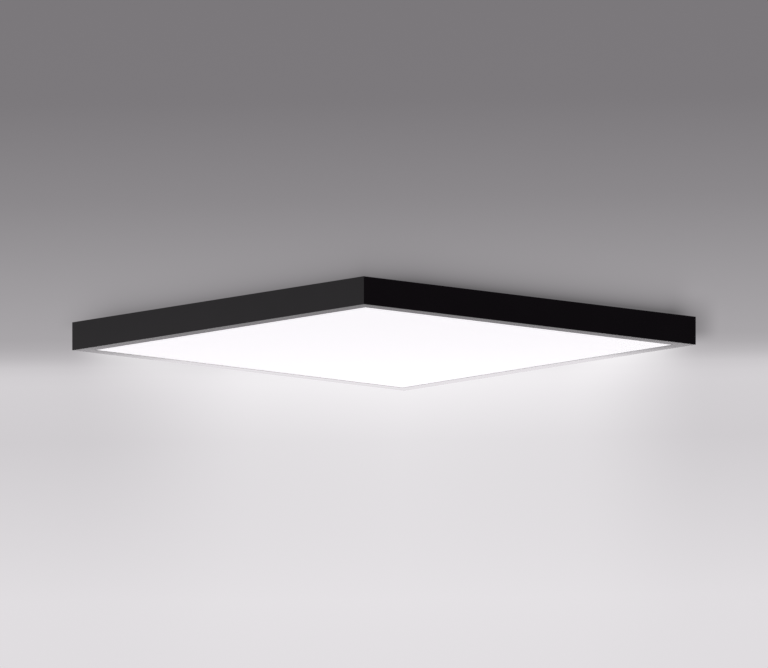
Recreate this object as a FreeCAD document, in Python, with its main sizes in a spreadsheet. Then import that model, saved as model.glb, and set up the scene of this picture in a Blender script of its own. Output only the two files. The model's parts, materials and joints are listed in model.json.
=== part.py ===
import FreeCAD, Part
import math
import os
import Sketcher

# Square, slim, edge-lit ceiling light. The origin is the middle of its ceiling face: +Z points up into
# the ceiling, X runs left to right, Y runs front to rear, and everything hangs below z = 0.
# Lengths are millimetres.

SIZES = {
    # frame extrusion
    "frame_side": 420.0,
    "frame_height": 27.0,
    "frame_wall": 1.3,
    "lip_width": 16.0,
    "lip_thick": 1.2,
    "shelf_width": 12.0,
    "shelf_thick": 1.8,
    "rim_width": 3.0,
    "rim_thick": 1.0,
    "outer_round": 0.4,
    # corner keys and the channel that holds them
    "key_height": 9.6,
    "key_thick": 2.0,
    "key_leg": 30.0,
    "key_play": 0.2,
    "key_rise": 4.0,
    "rib_thick": 1.0,
    "hook_height": 1.5,
    "grub_diameter": 4.0,
    "grub_reach": 20.0,
    "grub_proud": 0.6,
    "grub_socket": 2.0,
    "grub_point": 0.8,
    "tap_play": 0.1,
    # screws used throughout
    "screw_diameter": 3.0,
    "screw_head": 5.6,
    "screw_head_height": 1.8,
    "screw_below": 2.2,
    # the lit stack, from the lip upwards
    "diffuser_thick": 1.5,
    "field_play": 0.3,
    "field_recess": 0.1,
    "field_corner": 1.0,
    "guide_thick": 3.0,
    "reflector_thick": 0.25,
    "seal_thick": 1.85,
    "seal_width": 5.0,
    "sheet_play": 0.5,
    "board_play": 0.05,
    "tail_hole": 9.0,
    # light strips
    "strip_thick": 1.0,
    "strip_play": 0.1,
    "strip_end": 6.0,
    "chip_thick": 0.8,
    "chip_width": 3.0,
    "chip_height": 1.4,
    "chip_count": 40.0,
    "chip_gap": 0.5,
    # back plate
    "back_thick": 0.6,
    "back_corner": 4.0,
    "back_play": 0.5,
    "cover_screw_inset": 8.5,
    "cover_screw_spacing": 160.0,
    "bead_width": 9.0,
    "bead_height": 1.2,
    "front_bead_length": 300.0,
    "front_bead_start": 104.0,
    "front_bead_pitch": 27.0,
    "front_bead_count": 3.0,
    "rear_bead_inset": 36.0,
    "side_bead_length": 180.0,
    # plate that is screwed to the ceiling
    "plate_length": 280.0,
    "plate_width": 150.0,
    "plate_thick": 1.2,
    "plate_bend": 1.8,
    "plate_notch": 12.0,
    "flange_depth": 8.6,
    "fold_depth": 4.5,
    "window_length": 160.0,
    "window_width": 96.0,
    "window_corner": 12.0,
    "slot_spacing_long": 220.0,
    "slot_spacing_short": 100.0,
    "slot_width": 5.0,
    "slot_length": 20.0,
    # spring clips on the plate and the rails that they hold
    "clip_thick": 0.5,
    "clip_width": 18.0,
    "clip_spacing": 90.0,
    "clip_top_level": 2.4,
    "clip_bend_level": 7.0,
    "clip_rivet_level": 4.3,
    "clip_nose_level": 11.0,
    "clip_end_level": 15.0,
    "clip_nose_out": 4.75,
    "clip_end_out": 1.6,
    "clip_round": 0.9,
    "rail_thick": 1.0,
    "rail_length": 140.0,
    "rail_height": 8.8,
    "rail_foot": 12.0,
    "rail_lip": 3.8,
    "rail_web_out": 7.0,
    "rail_bend": 1.4,
    "rail_cut": 6.0,
    "rail_rivet_spacing": 40.0,
    "rail_rivet_count": 4.0,
    "rivet_diameter": 3.2,
    "rivet_head": 4.4,
    "rivet_head_thick": 0.9,
    "rivet_pitch": 9.0,
    # driver
    "driver_length": 150.0,
    "driver_width": 42.0,
    "driver_height": 14.5,
    "driver_wall": 1.6,
    "driver_floor": 1.5,
    "driver_seam": 6.0,
    "driver_corner": 3.0,
    "driver_gap": 20.0,
    "cover_tongue": 1.0,
    "tongue_play": 0.1,
    "tongue_thick": 0.7,
    "cover_round": 1.2,
    "ear_length": 11.0,
    "ear_width": 16.0,
    "ear_thick": 2.2,
    "post_height": 2.0,
    "post_diameter": 5.0,
    "post_inset": 7.0,
    "post_pin": 2.0,
    "circuit_thick": 1.6,
    "circuit_play": 1.2,
    "groove_width": 1.6,
    "groove_length": 28.0,
    "groove_depth": 0.6,
    "groove_count": 12.0,
    "groove_pitch": 4.0,
    "core_length": 22.0,
    "core_width": 18.0,
    "core_height": 7.0,
    "core_leg": 4.5,
    "coil_width": 9.0,
    "coil_clear": 0.55,
    "coil_round": 1.1,
    "can_diameter": 7.0,
    "can_length": 14.0,
    "can_round": 0.6,
    "can_seal_length": 2.8,
    "can_groove_width": 1.4,
    "choke_diameter": 9.0,
    "choke_waist": 6.0,
    "choke_height": 6.5,
    "choke_rim": 1.2,
    # terminal box
    "box_length": 66.0,
    "box_width": 40.0,
    "box_height": 13.6,
    "box_wall": 1.6,
    "box_floor": 1.2,
    "box_corner": 2.0,
    "lid_thick": 1.5,
    "lid_rim": 1.0,
    "lid_play": 0.3,
    "tab_length": 14.0,
    "tab_reach": 3.0,
    "tab_ridge_length": 10.0,
    "tab_ridge_width": 0.6,
    "tab_ridge_height": 0.3,
    "tab_ridge_pitch": 1.2,
    "hinge_diameter": 3.0,
    "hinge_pin_diameter": 1.4,
    "hinge_play": 0.05,
    "hinge_gap": 0.3,
    "knuckle_length": 24.0,
    "lug_length": 8.0,
    "cable_bore": 7.5,
    "grommet_hole": 9.6,
    "grommet_flange": 11.0,
    "grommet_thick": 1.2,
    "grommet_play": 0.05,
    "cable_level": 6.8,
    "clamp_inset": 11.0,
    "clamp_spacing": 18.0,
    "clamp_screw_clear": 0.5,
    "boss_diameter": 6.0,
    "bar_width": 7.0,
    "bar_thick": 2.2,
    "bar_cover": 1.2,
    "box_screw_inset": 5.0,
    # terminal block and its release buttons
    "block_length": 20.0,
    "block_height": 9.6,
    "block_wall": 1.6,
    "block_roof": 2.0,
    "block_inset": 25.0,
    "chamber_length": 10.0,
    "pole_pitch": 8.0,
    "entry_diameter": 3.4,
    "funnel_diameter": 4.6,
    "funnel_depth": 0.6,
    "pole_groove_width": 0.8,
    "pole_groove_depth": 0.6,
    "clamp_cage_length": 9.0,
    "clamp_cage_width": 5.6,
    "clamp_cage_height": 4.4,
    "clamp_cage_wall": 0.8,
    "button_length": 4.6,
    "button_width": 3.6,
    "button_proud": 1.6,
    "button_collar": 0.4,
    "button_collar_height": 1.2,
    "button_play": 0.1,
    "button_dimple": 2.0,
    "button_dimple_depth": 0.4,
    # earth connection to the back plate
    "tag_thick": 0.8,
    "tag_ring": 9.0,
    "tag_hole": 4.2,
    "tag_barrel": 3.8,
    "tag_barrel_length": 8.0,
    "tag_across": 10.0,
    "tag_rear": 72.0,
    "earth_screw_diameter": 4.0,
    "earth_screw_head": 7.0,
    "earth_screw_height": 2.4,
    # leads
    "mains_lead_diameter": 2.2,
    "lamp_lead_diameter": 1.3,
    "lamp_lead_gap": 0.7,
    "lamp_lead_rear": 150.0,
    "lead_play": 0.15,
    "lead_level": 3.8,
    "lead_pitch": 3.5,
    "lead_turn_inset": 5.0,
    "lead_insert": 3.3,
    "driver_lead_across": 42.0,
    "lamp_lead_exit": 13.0,
    "lamp_lead_tail": 2.6,
}

# where the lamp leads turn: shares of their way outwards to the frame and rearwards to the strip
LAMP_LEAD_COURSE = ((0.1, 0), (0.24, 0.02), (0.45, 0.2), (0.68, 0.8), (0.9, 1))
PARTS_FOLDER = "parts"
vector = FreeCAD.Vector
doc = FreeCAD.newDocument("ceiling_light")


class Size:
    """A length with its value and the sheet expression that it comes from."""

    def __init__(self, value, text):
        self.value = float(value)
        self.text = text

    def __add__(self, other):
        other = as_size(other)
        return Size(self.value + other.value, f"({self.text} + {other.text})")

    def __sub__(self, other):
        other = as_size(other)
        return Size(self.value - other.value, f"({self.text} - {other.text})")

    def __mul__(self, other):
        other = as_size(other)
        return Size(self.value * other.value, f"({self.text} * {other.text})")

    def __truediv__(self, other):
        other = as_size(other)
        return Size(self.value / other.value, f"({self.text} / {other.text})")

    def __neg__(self):
        return Size(-self.value, f"(-1 * {self.text})")

    def __rsub__(self, other):
        return as_size(other) - self


def as_size(number):
    return number if isinstance(number, Size) else Size(number, str(float(number)))


def make_sheet():
    sheet = doc.addObject("Spreadsheet::Sheet", "Sizes")
    for row, (name, number) in enumerate(SIZES.items(), 1):
        sheet.set(f"A{row}", name)
        sheet.set(f"B{row}", str(number))
        sheet.setAlias(f"B{row}", name)
    doc.recompute()
    return {name: Size(number, f"Sizes.{name}") for name, number in SIZES.items()}


dim = make_sheet()


def bind(target, path, size):
    """Sets a property or a constraint to a size, by expression where it comes from the sheet."""
    size = as_size(size)
    if "Sizes." in size.text:
        target.setExpression(path, size.text)
    return size.value


# ---------------------------------------------------------------------------- sketch helpers


def origin_part(body, role):
    return [feature for feature in body.Origin.OriginFeatures if feature.Role == role][0]


def new_body(label, turn=0):
    body = doc.addObject("PartDesign::Body", label)
    body.Label = label
    body.Placement = FreeCAD.Placement(vector(), FreeCAD.Rotation(vector(0, 0, 1), turn))
    return body


def new_sketch(body, role, name, offset=0, across=0, up=0):
    """A sketch on one of the body's own planes, moved along its normal by offset and in the plane."""
    sketch = body.newObject("Sketcher::SketchObject", name)
    sketch.AttachmentSupport = [(origin_part(body, role), "")]
    sketch.MapMode = "FlatFace"
    shift = [as_size(value) for value in (across, up, offset)]
    sketch.AttachmentOffset = FreeCAD.Placement(vector(*[s.value for s in shift]), FreeCAD.Rotation())
    for letter, size in zip("xyz", shift):
        bind(sketch, f"AttachmentOffset.Base.{letter}", size)
    return sketch


def fix(sketch, kind, *where):
    """A driving constraint whose last argument is its size."""
    size = as_size(where[-1])
    index = sketch.addConstraint(Sketcher.Constraint(kind, *where[:-1], size.value))
    bind(sketch, f"Constraints[{index}]", size)


def fix_point(sketch, geometry, end, x, y):
    fix(sketch, "DistanceX", -1, 1, geometry, end, x)
    fix(sketch, "DistanceY", -1, 1, geometry, end, y)


def outline(sketch, corners, closed=True):
    """Straight runs through the corners, (x, y) or (x, y, round), with a tangent arc at each round."""
    spots = [vector(as_size(c[0]).value, as_size(c[1]).value, 0) for c in corners]
    rounds = [as_size(c[2]) if len(c) > 2 else None for c in corners]
    count = len(corners)
    cuts = []
    for i, spot in enumerate(spots):
        if rounds[i] is None:
            cuts.append((spot, spot, None))
            continue
        back = (spots[i - 1] - spot).normalize()
        ahead = (spots[(i + 1) % count] - spot).normalize()
        half_angle = back.getAngle(ahead) / 2
        reach = rounds[i].value / math.tan(half_angle)
        centre = spot + (back + ahead).normalize() * (rounds[i].value / math.sin(half_angle))
        cuts.append((spot + back * reach, spot + ahead * reach, centre))
    runs = []
    for i in range(count if closed else count - 1):
        start, end = cuts[i][1], cuts[(i + 1) % count][0]
        runs.append(sketch.addGeometry(Part.LineSegment(start, end), False))
    for i, (before, after, centre) in enumerate(cuts):
        run_in = runs[i - 1] if closed or i > 0 else None
        run_out = runs[i] if closed or i < count - 1 else None
        x, y = corners[i][:2]
        if centre is None:
            if run_in is not None and run_out is not None:
                sketch.addConstraint(Sketcher.Constraint("Coincident", run_in, 2, run_out, 1))
            if run_out is not None:
                fix_point(sketch, run_out, 1, x, y)
            else:
                fix_point(sketch, run_in, 2, x, y)
            continue
        turns_left = (before - centre).cross(after - centre).z > 0
        start, end = (before, after) if turns_left else (after, before)
        angles = [math.atan2(point.y - centre.y, point.x - centre.x) for point in (start, end)]
        ring = Part.Circle(centre, vector(0, 0, 1), rounds[i].value)
        arc = sketch.addGeometry(Part.ArcOfCircle(ring, *angles), False)
        point = sketch.addGeometry(Part.Point(spots[i]), True)
        arc_in = 1 if turns_left else 2
        sketch.addConstraint(Sketcher.Constraint("Tangent", run_in, 2, arc, arc_in))
        sketch.addConstraint(Sketcher.Constraint("Tangent", arc, 3 - arc_in, run_out, 1))
        sketch.addConstraint(Sketcher.Constraint("PointOnObject", point, 1, run_in))
        sketch.addConstraint(Sketcher.Constraint("PointOnObject", point, 1, run_out))
        fix(sketch, "Radius", arc, rounds[i])
        fix_point(sketch, point, 1, x, y)


def rectangle(sketch, x_low, x_high, y_low, y_high, corner=None):
    spots = [(x_low, y_low), (x_high, y_low), (x_high, y_high), (x_low, y_high)]
    outline(sketch, [spot if corner is None else (*spot, corner) for spot in spots])


def circle(sketch, x, y, diameter):
    spot = vector(as_size(x).value, as_size(y).value, 0)
    ring = Part.Circle(spot, vector(0, 0, 1), as_size(diameter).value / 2)
    index = sketch.addGeometry(ring, False)
    fix_point(sketch, index, 3, x, y)
    fix(sketch, "Diameter", index, diameter)


def slot(sketch, x, y, length, width, along_y=False):
    """A slot with round ends, end to end length long, centred on (x, y)."""
    x, y, length, width = (as_size(value) for value in (x, y, length, width))
    reach = (length - width) / 2
    lead = (as_size(0), reach) if along_y else (reach, as_size(0))
    ends = [(x - lead[0], y - lead[1]), (x + lead[0], y + lead[1])]
    radius = width.value / 2
    angles = [(math.pi, 2 * math.pi), (0, math.pi)] if along_y else [
        (math.pi / 2, 3 * math.pi / 2), (-math.pi / 2, math.pi / 2)]
    arcs = []
    for (cx, cy), (start, end) in zip(ends, angles):
        ring = Part.Circle(vector(cx.value, cy.value, 0), vector(0, 0, 1), radius)
        arcs.append(sketch.addGeometry(Part.ArcOfCircle(ring, start, end), False))
        fix_point(sketch, arcs[-1], 3, cx, cy)
    low, high = (sketch.Geometry[arc] for arc in arcs)
    sides = [
        sketch.addGeometry(Part.LineSegment(low.EndPoint, high.StartPoint), False),
        sketch.addGeometry(Part.LineSegment(high.EndPoint, low.StartPoint), False),
    ]
    sketch.addConstraint(Sketcher.Constraint("Tangent", arcs[0], 2, sides[0], 1))
    sketch.addConstraint(Sketcher.Constraint("Tangent", sides[0], 2, arcs[1], 1))
    sketch.addConstraint(Sketcher.Constraint("Tangent", arcs[1], 2, sides[1], 1))
    sketch.addConstraint(Sketcher.Constraint("Tangent", sides[1], 2, arcs[0], 1))
    sketch.addConstraint(Sketcher.Constraint("Equal", arcs[0], arcs[1]))
    fix(sketch, "Radius", arcs[0], width / 2)


# ---------------------------------------------------------------------------- feature helpers


def pad(body, sketch, name, length, symmetric=False, down=False):
    feature = body.newObject("PartDesign::Pad", name)
    feature.Profile = sketch
    feature.Length = bind(feature, "Length", length)
    if symmetric:
        feature.SideType = "Symmetric"
    feature.Reversed = down
    sketch.Visibility = False
    return feature


def pocket(body, sketch, name, length=None, symmetric=False, up=False):
    """Cuts against the sketch's normal, or along it if up. No length cuts through everything."""
    feature = body.newObject("PartDesign::Pocket", name)
    feature.Profile = sketch
    if length is None:
        feature.Type = "ThroughAll"
    else:
        feature.Length = bind(feature, "Length", length)
    if symmetric:
        feature.SideType = "Symmetric"
    feature.Reversed = up
    return feature


def repeat_row(body, features, axis, length, count, name):
    """Copies the features along an axis: count of them, spread over length."""
    pattern = body.newObject("PartDesign::LinearPattern", name)
    pattern.Originals = features
    pattern.Direction = (origin_part(body, axis), [""])
    pattern.Length = bind(pattern, "Length", length)
    pattern.Occurrences = int(bind(pattern, "Occurrences", count))
    body.Tip = pattern
    return pattern


def repeat_round(body, features, count, name):
    pattern = body.newObject("PartDesign::PolarPattern", name)
    pattern.Originals = features
    pattern.Axis = (origin_part(body, "Z_Axis"), [""])
    pattern.Angle = 360
    pattern.Occurrences = count
    body.Tip = pattern
    return pattern


def edges_where(feature, test):
    """Names of the feature's edges whose middle passes the test."""
    doc.recompute()
    found = []
    for index, edge in enumerate(feature.Shape.Edges, 1):
        if test(edge):
            found.append(f"Edge{index}")
    return found


def fillet(body, feature, edges, radius, name):
    rounded = body.newObject("PartDesign::Fillet", name)
    rounded.Base = (feature, edges)
    rounded.Radius = bind(rounded, "Radius", radius)
    return rounded


def close_to(value, size):
    return abs(value - as_size(size).value) < 0.01


def block(label, x_low, x_high, y_low, y_high, z_low, z_high, turn=0):
    """A plain rectangular piece as a padded body."""
    body = new_body(label, turn)
    sketch = new_sketch(body, "XY_Plane", label + "_outline", z_low)
    rectangle(sketch, x_low, x_high, y_low, y_high)
    pad(body, sketch, label + "_pad", as_size(z_high) - z_low)
    return body


# ---------------------------------------------------------------------------- levels and lines

half = dim["frame_side"] / 2
bottom = -dim["frame_height"]
lip_top = bottom + dim["lip_thick"]
diffuser_top = lip_top + dim["diffuser_thick"]
guide_top = diffuser_top + dim["guide_thick"]
reflector_top = guide_top + dim["reflector_thick"]
shelf_low = reflector_top + dim["seal_thick"]
shelf_top = shelf_low + dim["shelf_thick"]
back_top = shelf_top + dim["back_thick"]
plate_under = -dim["plate_thick"]

# how far in from the frame's outer face each line lies
key_face = dim["frame_wall"] + dim["key_thick"] + dim["key_play"]
hook_edge = key_face + dim["rib_thick"]
strip_face = dim["frame_wall"] + dim["strip_thick"]
guide_edge = strip_face + dim["chip_thick"] + dim["chip_gap"]
sheet_edge = dim["frame_wall"] + dim["sheet_play"]
board_edge = dim["shelf_width"] + dim["sheet_play"]
back_edge = dim["frame_wall"] + dim["back_play"]

key_low = shelf_top + dim["key_rise"]
key_high = key_low + dim["key_height"] + dim["key_play"]
key_middle = (key_low + key_high) / 2

# leads
screw_hole = dim["screw_diameter"] + dim["tap_play"]
lead_level = back_top + dim["lead_level"]
lamp_lead_hole = dim["lamp_lead_diameter"] * 2
lamp_lead_level = back_top + dim["lamp_lead_diameter"] / 2
lamp_lead_in = strip_face + dim["lamp_lead_diameter"] / 2
lamp_lead_step = (dim["lamp_lead_diameter"] + dim["lamp_lead_gap"]) / 2

# clips and rails
clip_line = dim["plate_length"] / 2
clip_middle = -dim["clip_rivet_level"]
clip_steps = [dim["clip_spacing"] / 2 * side for side in (-1, 1)]
clip_rivet_steps = [step + dim["rivet_pitch"] / 2 * side for step in clip_steps for side in (-1, 1)]
rail_web = clip_line + dim["rail_web_out"]
rail_top = back_top + dim["rail_height"]
rail_rivet_across = rail_web + dim["rail_thick"] + (dim["rail_foot"] - dim["rail_thick"]) / 2
rail_outer = rail_web + dim["rail_foot"]
rail_rivets = int(dim["rail_rivet_count"].value)
rail_rivet_first = -(rail_rivets - 1) / 2
rail_rivet_steps = [dim["rail_rivet_spacing"] * (rail_rivet_first + step) for step in range(rail_rivets)]

# terminal box
box_seam = back_top + dim["box_height"]
box_floor_top = back_top + dim["box_floor"]
box_across = dim["box_length"] / 2
box_depth = dim["box_width"] / 2
cable_level = back_top + dim["cable_level"]
clamp_across = dim["clamp_inset"] - box_across
hinge_line = -(box_depth + dim["hinge_diameter"] / 2 + dim["hinge_gap"])
block_left = dim["block_inset"] - box_across
block_right = block_left + dim["block_length"]
block_middle = (block_left + block_right) / 2
block_top = box_floor_top + dim["block_height"]
chamber_top = block_top - dim["block_roof"]
pole_steps = [dim["pole_pitch"] * step for step in (-1, 0, 1)]
box_screw_spots = [
    (block_left - dim["box_screw_inset"], box_depth - dim["box_screw_inset"]),
    (block_right + dim["box_screw_inset"] * 2, dim["box_screw_inset"] - box_depth),
]

# driver
driver_front = dim["plate_width"] / 2 + dim["driver_gap"]
driver_middle = driver_front + dim["driver_width"] / 2
driver_back = driver_front + dim["driver_width"]
lamp_lead_exit = driver_middle + dim["lamp_lead_exit"]
driver_across = dim["driver_length"] / 2
driver_seam = back_top + dim["driver_seam"]
driver_top = back_top + dim["driver_height"]
circuit_low = back_top + dim["driver_floor"] + dim["post_height"]
circuit_top = circuit_low + dim["circuit_thick"]
circuit_reach = dim["driver_wall"] + dim["circuit_play"]
ear_across = driver_across + dim["ear_length"] / 2
post_across = driver_across - dim["post_inset"]
post_reach = dim["driver_width"] / 2 - dim["post_inset"]
mains_lead_hole = dim["mains_lead_diameter"] + dim["lead_play"] * 2
lamp_lead_bore = dim["lamp_lead_diameter"] + dim["lead_play"] * 2
tag_barrel_end = dim["tag_rear"] - dim["tag_ring"] / 2
tag_barrel_start = tag_barrel_end - dim["tag_barrel_length"]
tag_lead_level = back_top + dim["tag_barrel"] / 2
lead_turns = [box_across - dim["lead_turn_inset"] - dim["lead_pitch"] * step for step in range(3)]


# ---------------------------------------------------------------------------- round pieces and wires


def turned(body, name, spot, corners, lying=False):
    """Adds a turned solid at the spot. Corners are (radius, height), or for one lying along X
    (distance along X, radius)."""
    x, y, z = spot
    sketch = new_sketch(body, "XZ_Plane", name + "_outline", -as_size(y), x, z)
    outline(sketch, corners)
    feature = body.newObject("PartDesign::Revolution", name)
    feature.Profile = sketch
    feature.ReferenceAxis = (sketch, ["H_Axis" if lying else "V_Axis"])
    feature.Angle = 360
    sketch.Visibility = False
    return feature


def pan_screw(shank_length, shank, head, head_height):
    """Half outline of a pan head screw that seats at height 0, with a shallow socket in its head."""
    socket = shank / 3
    return [
        (0, -shank_length),
        (shank / 2, -shank_length),
        (shank / 2, 0),
        (head / 2, 0),
        (head / 2, head_height, head_height / 2),
        (socket, head_height),
        (socket, head_height / 2),
        (0, head_height / 2),
    ]


def route_wire(points, label):
    """Straight runs through the points, with tangent arcs as large as the shorter run allows."""
    points = [vector(*[as_size(value).value for value in point]) for point in points]
    edges = []
    radii = []
    start = points[0]
    for before, corner, after in zip(points, points[1:], points[2:]):
        back = before - corner
        ahead = after - corner
        half_turn = (math.pi - back.getAngle(ahead)) / 2
        reach = 0.45 * min(back.Length, ahead.Length)
        radius = reach / math.tan(half_turn)
        radii.append(round(radius, 1))
        back.normalize()
        ahead.normalize()
        middle = (back + ahead).normalize()
        crown = corner + middle * (radius / math.cos(half_turn) - radius)
        arc_start = corner + back * reach
        arc_end = corner + ahead * reach
        edges.append(Part.LineSegment(start, arc_start).toShape())
        edges.append(Part.Arc(arc_start, crown, arc_end).toShape())
        start = arc_end
    edges.append(Part.LineSegment(start, points[-1]).toShape())
    print(label, "bend radii", radii)
    return Part.Wire(edges)


def tube(points, diameter, label):
    """A round lead along a route."""
    wire = route_wire(points, label)
    first = wire.OrderedEdges[0]
    heading = first.tangentAt(first.FirstParameter)
    ring = Part.Circle(first.valueAt(first.FirstParameter), heading, diameter.value / 2)
    section = Part.Wire([ring.toShape()])
    solid = wire.makePipeShell([section], True, True)
    expected = math.pi * diameter.value ** 2 / 4 * wire.Length
    assert abs(solid.Volume / expected - 1) < 0.01, label
    return solid


# ---------------------------------------------------------------------------- frame


def make_frame_side(label, turn, lead_across=None):
    """One mitred length of the frame extrusion, drawn as the front one and turned into place."""
    body = new_body(label, turn)
    wall = dim["frame_wall"]
    rib = dim["rib_thick"]
    hook = dim["hook_height"]
    profile = [
        (0, bottom, dim["outer_round"]),
        (dim["lip_width"], bottom, dim["outer_round"]),
        (dim["lip_width"], lip_top),
        (wall, lip_top),
        (wall, shelf_low),
        (dim["shelf_width"], shelf_low),
        (dim["shelf_width"], shelf_top),
        (wall, shelf_top),
        (wall, key_low - rib),
        (hook_edge, key_low - rib),
        (hook_edge, key_low + hook),
        (key_face, key_low + hook),
        (key_face, key_low),
        (wall, key_low),
        (wall, key_high),
        (key_face, key_high),
        (key_face, key_high - hook),
        (hook_edge, key_high - hook),
        (hook_edge, key_high + rib),
        (wall, key_high + rib),
        (wall, -dim["rim_thick"]),
        (dim["rim_width"], -dim["rim_thick"]),
        (dim["rim_width"], 0),
        (0, 0, dim["outer_round"]),
    ]
    sketch = new_sketch(body, "YZ_Plane", label + "_profile", 0, -half)
    outline(sketch, profile)
    pad(body, sketch, label + "_extrusion", dim["frame_side"], symmetric=True)

    beyond = dim["lip_width"] + dim["shelf_width"]
    mitres = new_sketch(body, "XY_Plane", label + "_mitres")
    for side in (-1, 1):
        tip = half * side
        inner = (half - beyond) * side
        outline(mitres, [(tip, -half), (tip, beyond - half), (inner, beyond - half)])
    pocket(body, mitres, label + "_mitre_cuts", symmetric=True)

    holes = new_sketch(body, "XY_Plane", label + "_shelf_holes", shelf_top)
    for step in (-1, 0, 1):
        circle(holes, dim["cover_screw_spacing"] * step, dim["cover_screw_inset"] - half, screw_hole)
    if lead_across is not None:
        slot(holes, lead_across, lamp_lead_in - half, dim["lamp_lead_diameter"] * 4, lamp_lead_hole)
    pocket(body, holes, label + "_holes", dim["shelf_thick"])
    return body


def make_corner_keys():
    """Cast L-shaped keys that join the mitred sides inside their channels."""
    body = new_body("corner_keys")
    inset = dim["frame_wall"] + dim["key_play"] / 2
    near = half - inset
    sketch = new_sketch(body, "XY_Plane", "corner_key_outline", key_low + dim["key_play"] / 2)
    outline(sketch, [
        (near, -near, dim["key_play"]),
        (near, dim["key_leg"] - near),
        (near - dim["key_thick"], dim["key_leg"] - near),
        (near - dim["key_thick"], dim["key_thick"] - near),
        (near - dim["key_leg"], dim["key_thick"] - near),
        (near - dim["key_leg"], -near),
    ])
    features = [pad(body, sketch, "corner_key", dim["key_height"])]
    for role, side in (("XZ_Plane", 1), ("YZ_Plane", -1)):
        holes = new_sketch(body, role, f"corner_key_holes_{role}")
        circle(holes, (half - dim["grub_reach"]) * side, key_middle, dim["grub_diameter"] + dim["tap_play"])
        features.append(pocket(body, holes, f"corner_key_taps_{role}", symmetric=True))
    repeat_round(body, features, 4, "corner_key_ring")
    return body


def make_grub_screws():
    """Two grub screws at each corner. They stand in the keys and press on the outer walls."""
    body = new_body("grub_screws")
    radius = dim["grub_diameter"] / 2
    point = dim["grub_point"]
    tip = half - dim["frame_wall"]
    tail = tip - dim["key_thick"] - dim["grub_proud"]
    socket = dim["grub_socket"] / 2
    corners = [
        (tip, 0),
        (tip, radius - point),
        (tip - point, radius),
        (tail, radius),
        (tail, socket),
        (tail + dim["grub_proud"], socket),
        (tail + dim["grub_proud"], 0),
    ]
    spots = [(0, (half - dim["grub_reach"]) * side, key_middle) for side in (-1, 1)]
    screws = [turned(body, f"grub_screw_{i}", spot, corners, lying=True) for i, spot in enumerate(spots)]
    repeat_round(body, screws, 4, "grub_screw_ring")
    return body


# ---------------------------------------------------------------------------- lit stack


def make_sheet_piece(label, edge_x, edge_y, low, high):
    """A square sheet whose edges lie edge_x and edge_y in from the frame's outer faces."""
    return block(label, edge_x - half, half - edge_x, edge_y - half, half - edge_y, low, high)


def make_diffuser():
    """Opal sheet with a stepped edge: its flange lies on the lip, its field fills the lip's opening."""
    body = make_sheet_piece("diffuser_panel", guide_edge, sheet_edge, lip_top, diffuser_top)
    field = new_sketch(body, "XY_Plane", "diffuser_field_outline", lip_top)
    reach = half - dim["lip_width"] - dim["field_play"]
    rectangle(field, -reach, reach, -reach, reach, dim["field_corner"])
    pad(body, field, "diffuser_field", dim["lip_thick"] - dim["field_recess"], down=True)
    return body


def make_edge_seal():
    """Foam frame under the shelves that presses the stack down onto the lip."""
    body = new_body("edge_seal")
    sketch = new_sketch(body, "XY_Plane", "edge_seal_outline", reflector_top)
    outer = half - guide_edge - dim["sheet_play"]
    for reach in (outer, outer - dim["seal_width"]):
        rectangle(sketch, -reach, reach, -reach, reach)
    pad(body, sketch, "edge_seal_ring", dim["seal_thick"])
    return body


def make_led_strip(label, turn):
    """Circuit strip that stands on edge against the inside of a side wall, with its chips beside it."""
    low = lip_top + dim["strip_play"]
    high = shelf_low - dim["strip_play"]
    reach = half - dim["strip_end"]
    return block(label, half - strip_face, half - dim["frame_wall"], -reach, reach, low, high, turn)


def make_led_chips(label, turn):
    body = new_body(label, turn)
    pitch = (half - dim["strip_end"]) * 2 / dim["chip_count"]
    first = dim["strip_end"] - half + pitch / 2
    level = (diffuser_top + guide_top) / 2
    sketch = new_sketch(body, "YZ_Plane", label + "_outline", half - strip_face - dim["chip_thick"])
    rectangle(sketch, first - dim["chip_width"] / 2, first + dim["chip_width"] / 2,
              level - dim["chip_height"] / 2, level + dim["chip_height"] / 2)
    chip = pad(body, sketch, label + "_chip", dim["chip_thick"])
    span = pitch * (dim["chip_count"] - 1)
    repeat_row(body, [chip], "Y_Axis", span, dim["chip_count"], label + "_row")
    return body


def make_backing_board():
    """Stiff light board between the reflector and the back plate, punched under every fastener."""
    body = block("backing_board", board_edge - half, half - board_edge, board_edge - half,
                 half - board_edge, reflector_top, shelf_top - dim["board_play"])
    sketch = new_sketch(body, "XY_Plane", "board_punches", shelf_top)
    for x, y in fastener_spots():
        circle(sketch, x, y, dim["tail_hole"])
    pocket(body, sketch, "board_holes")
    return body


# ---------------------------------------------------------------------------- back plate


def fastener_spots():
    """Where something is fastened to the back plate inside the screwed edge."""
    spots = [(rail_rivet_across * side, step) for side in (-1, 1) for step in rail_rivet_steps]
    spots += box_screw_spots
    spots += [(ear_across * side, driver_middle) for side in (-1, 1)]
    spots.append((dim["tag_across"], dim["tag_rear"]))
    return spots


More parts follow.
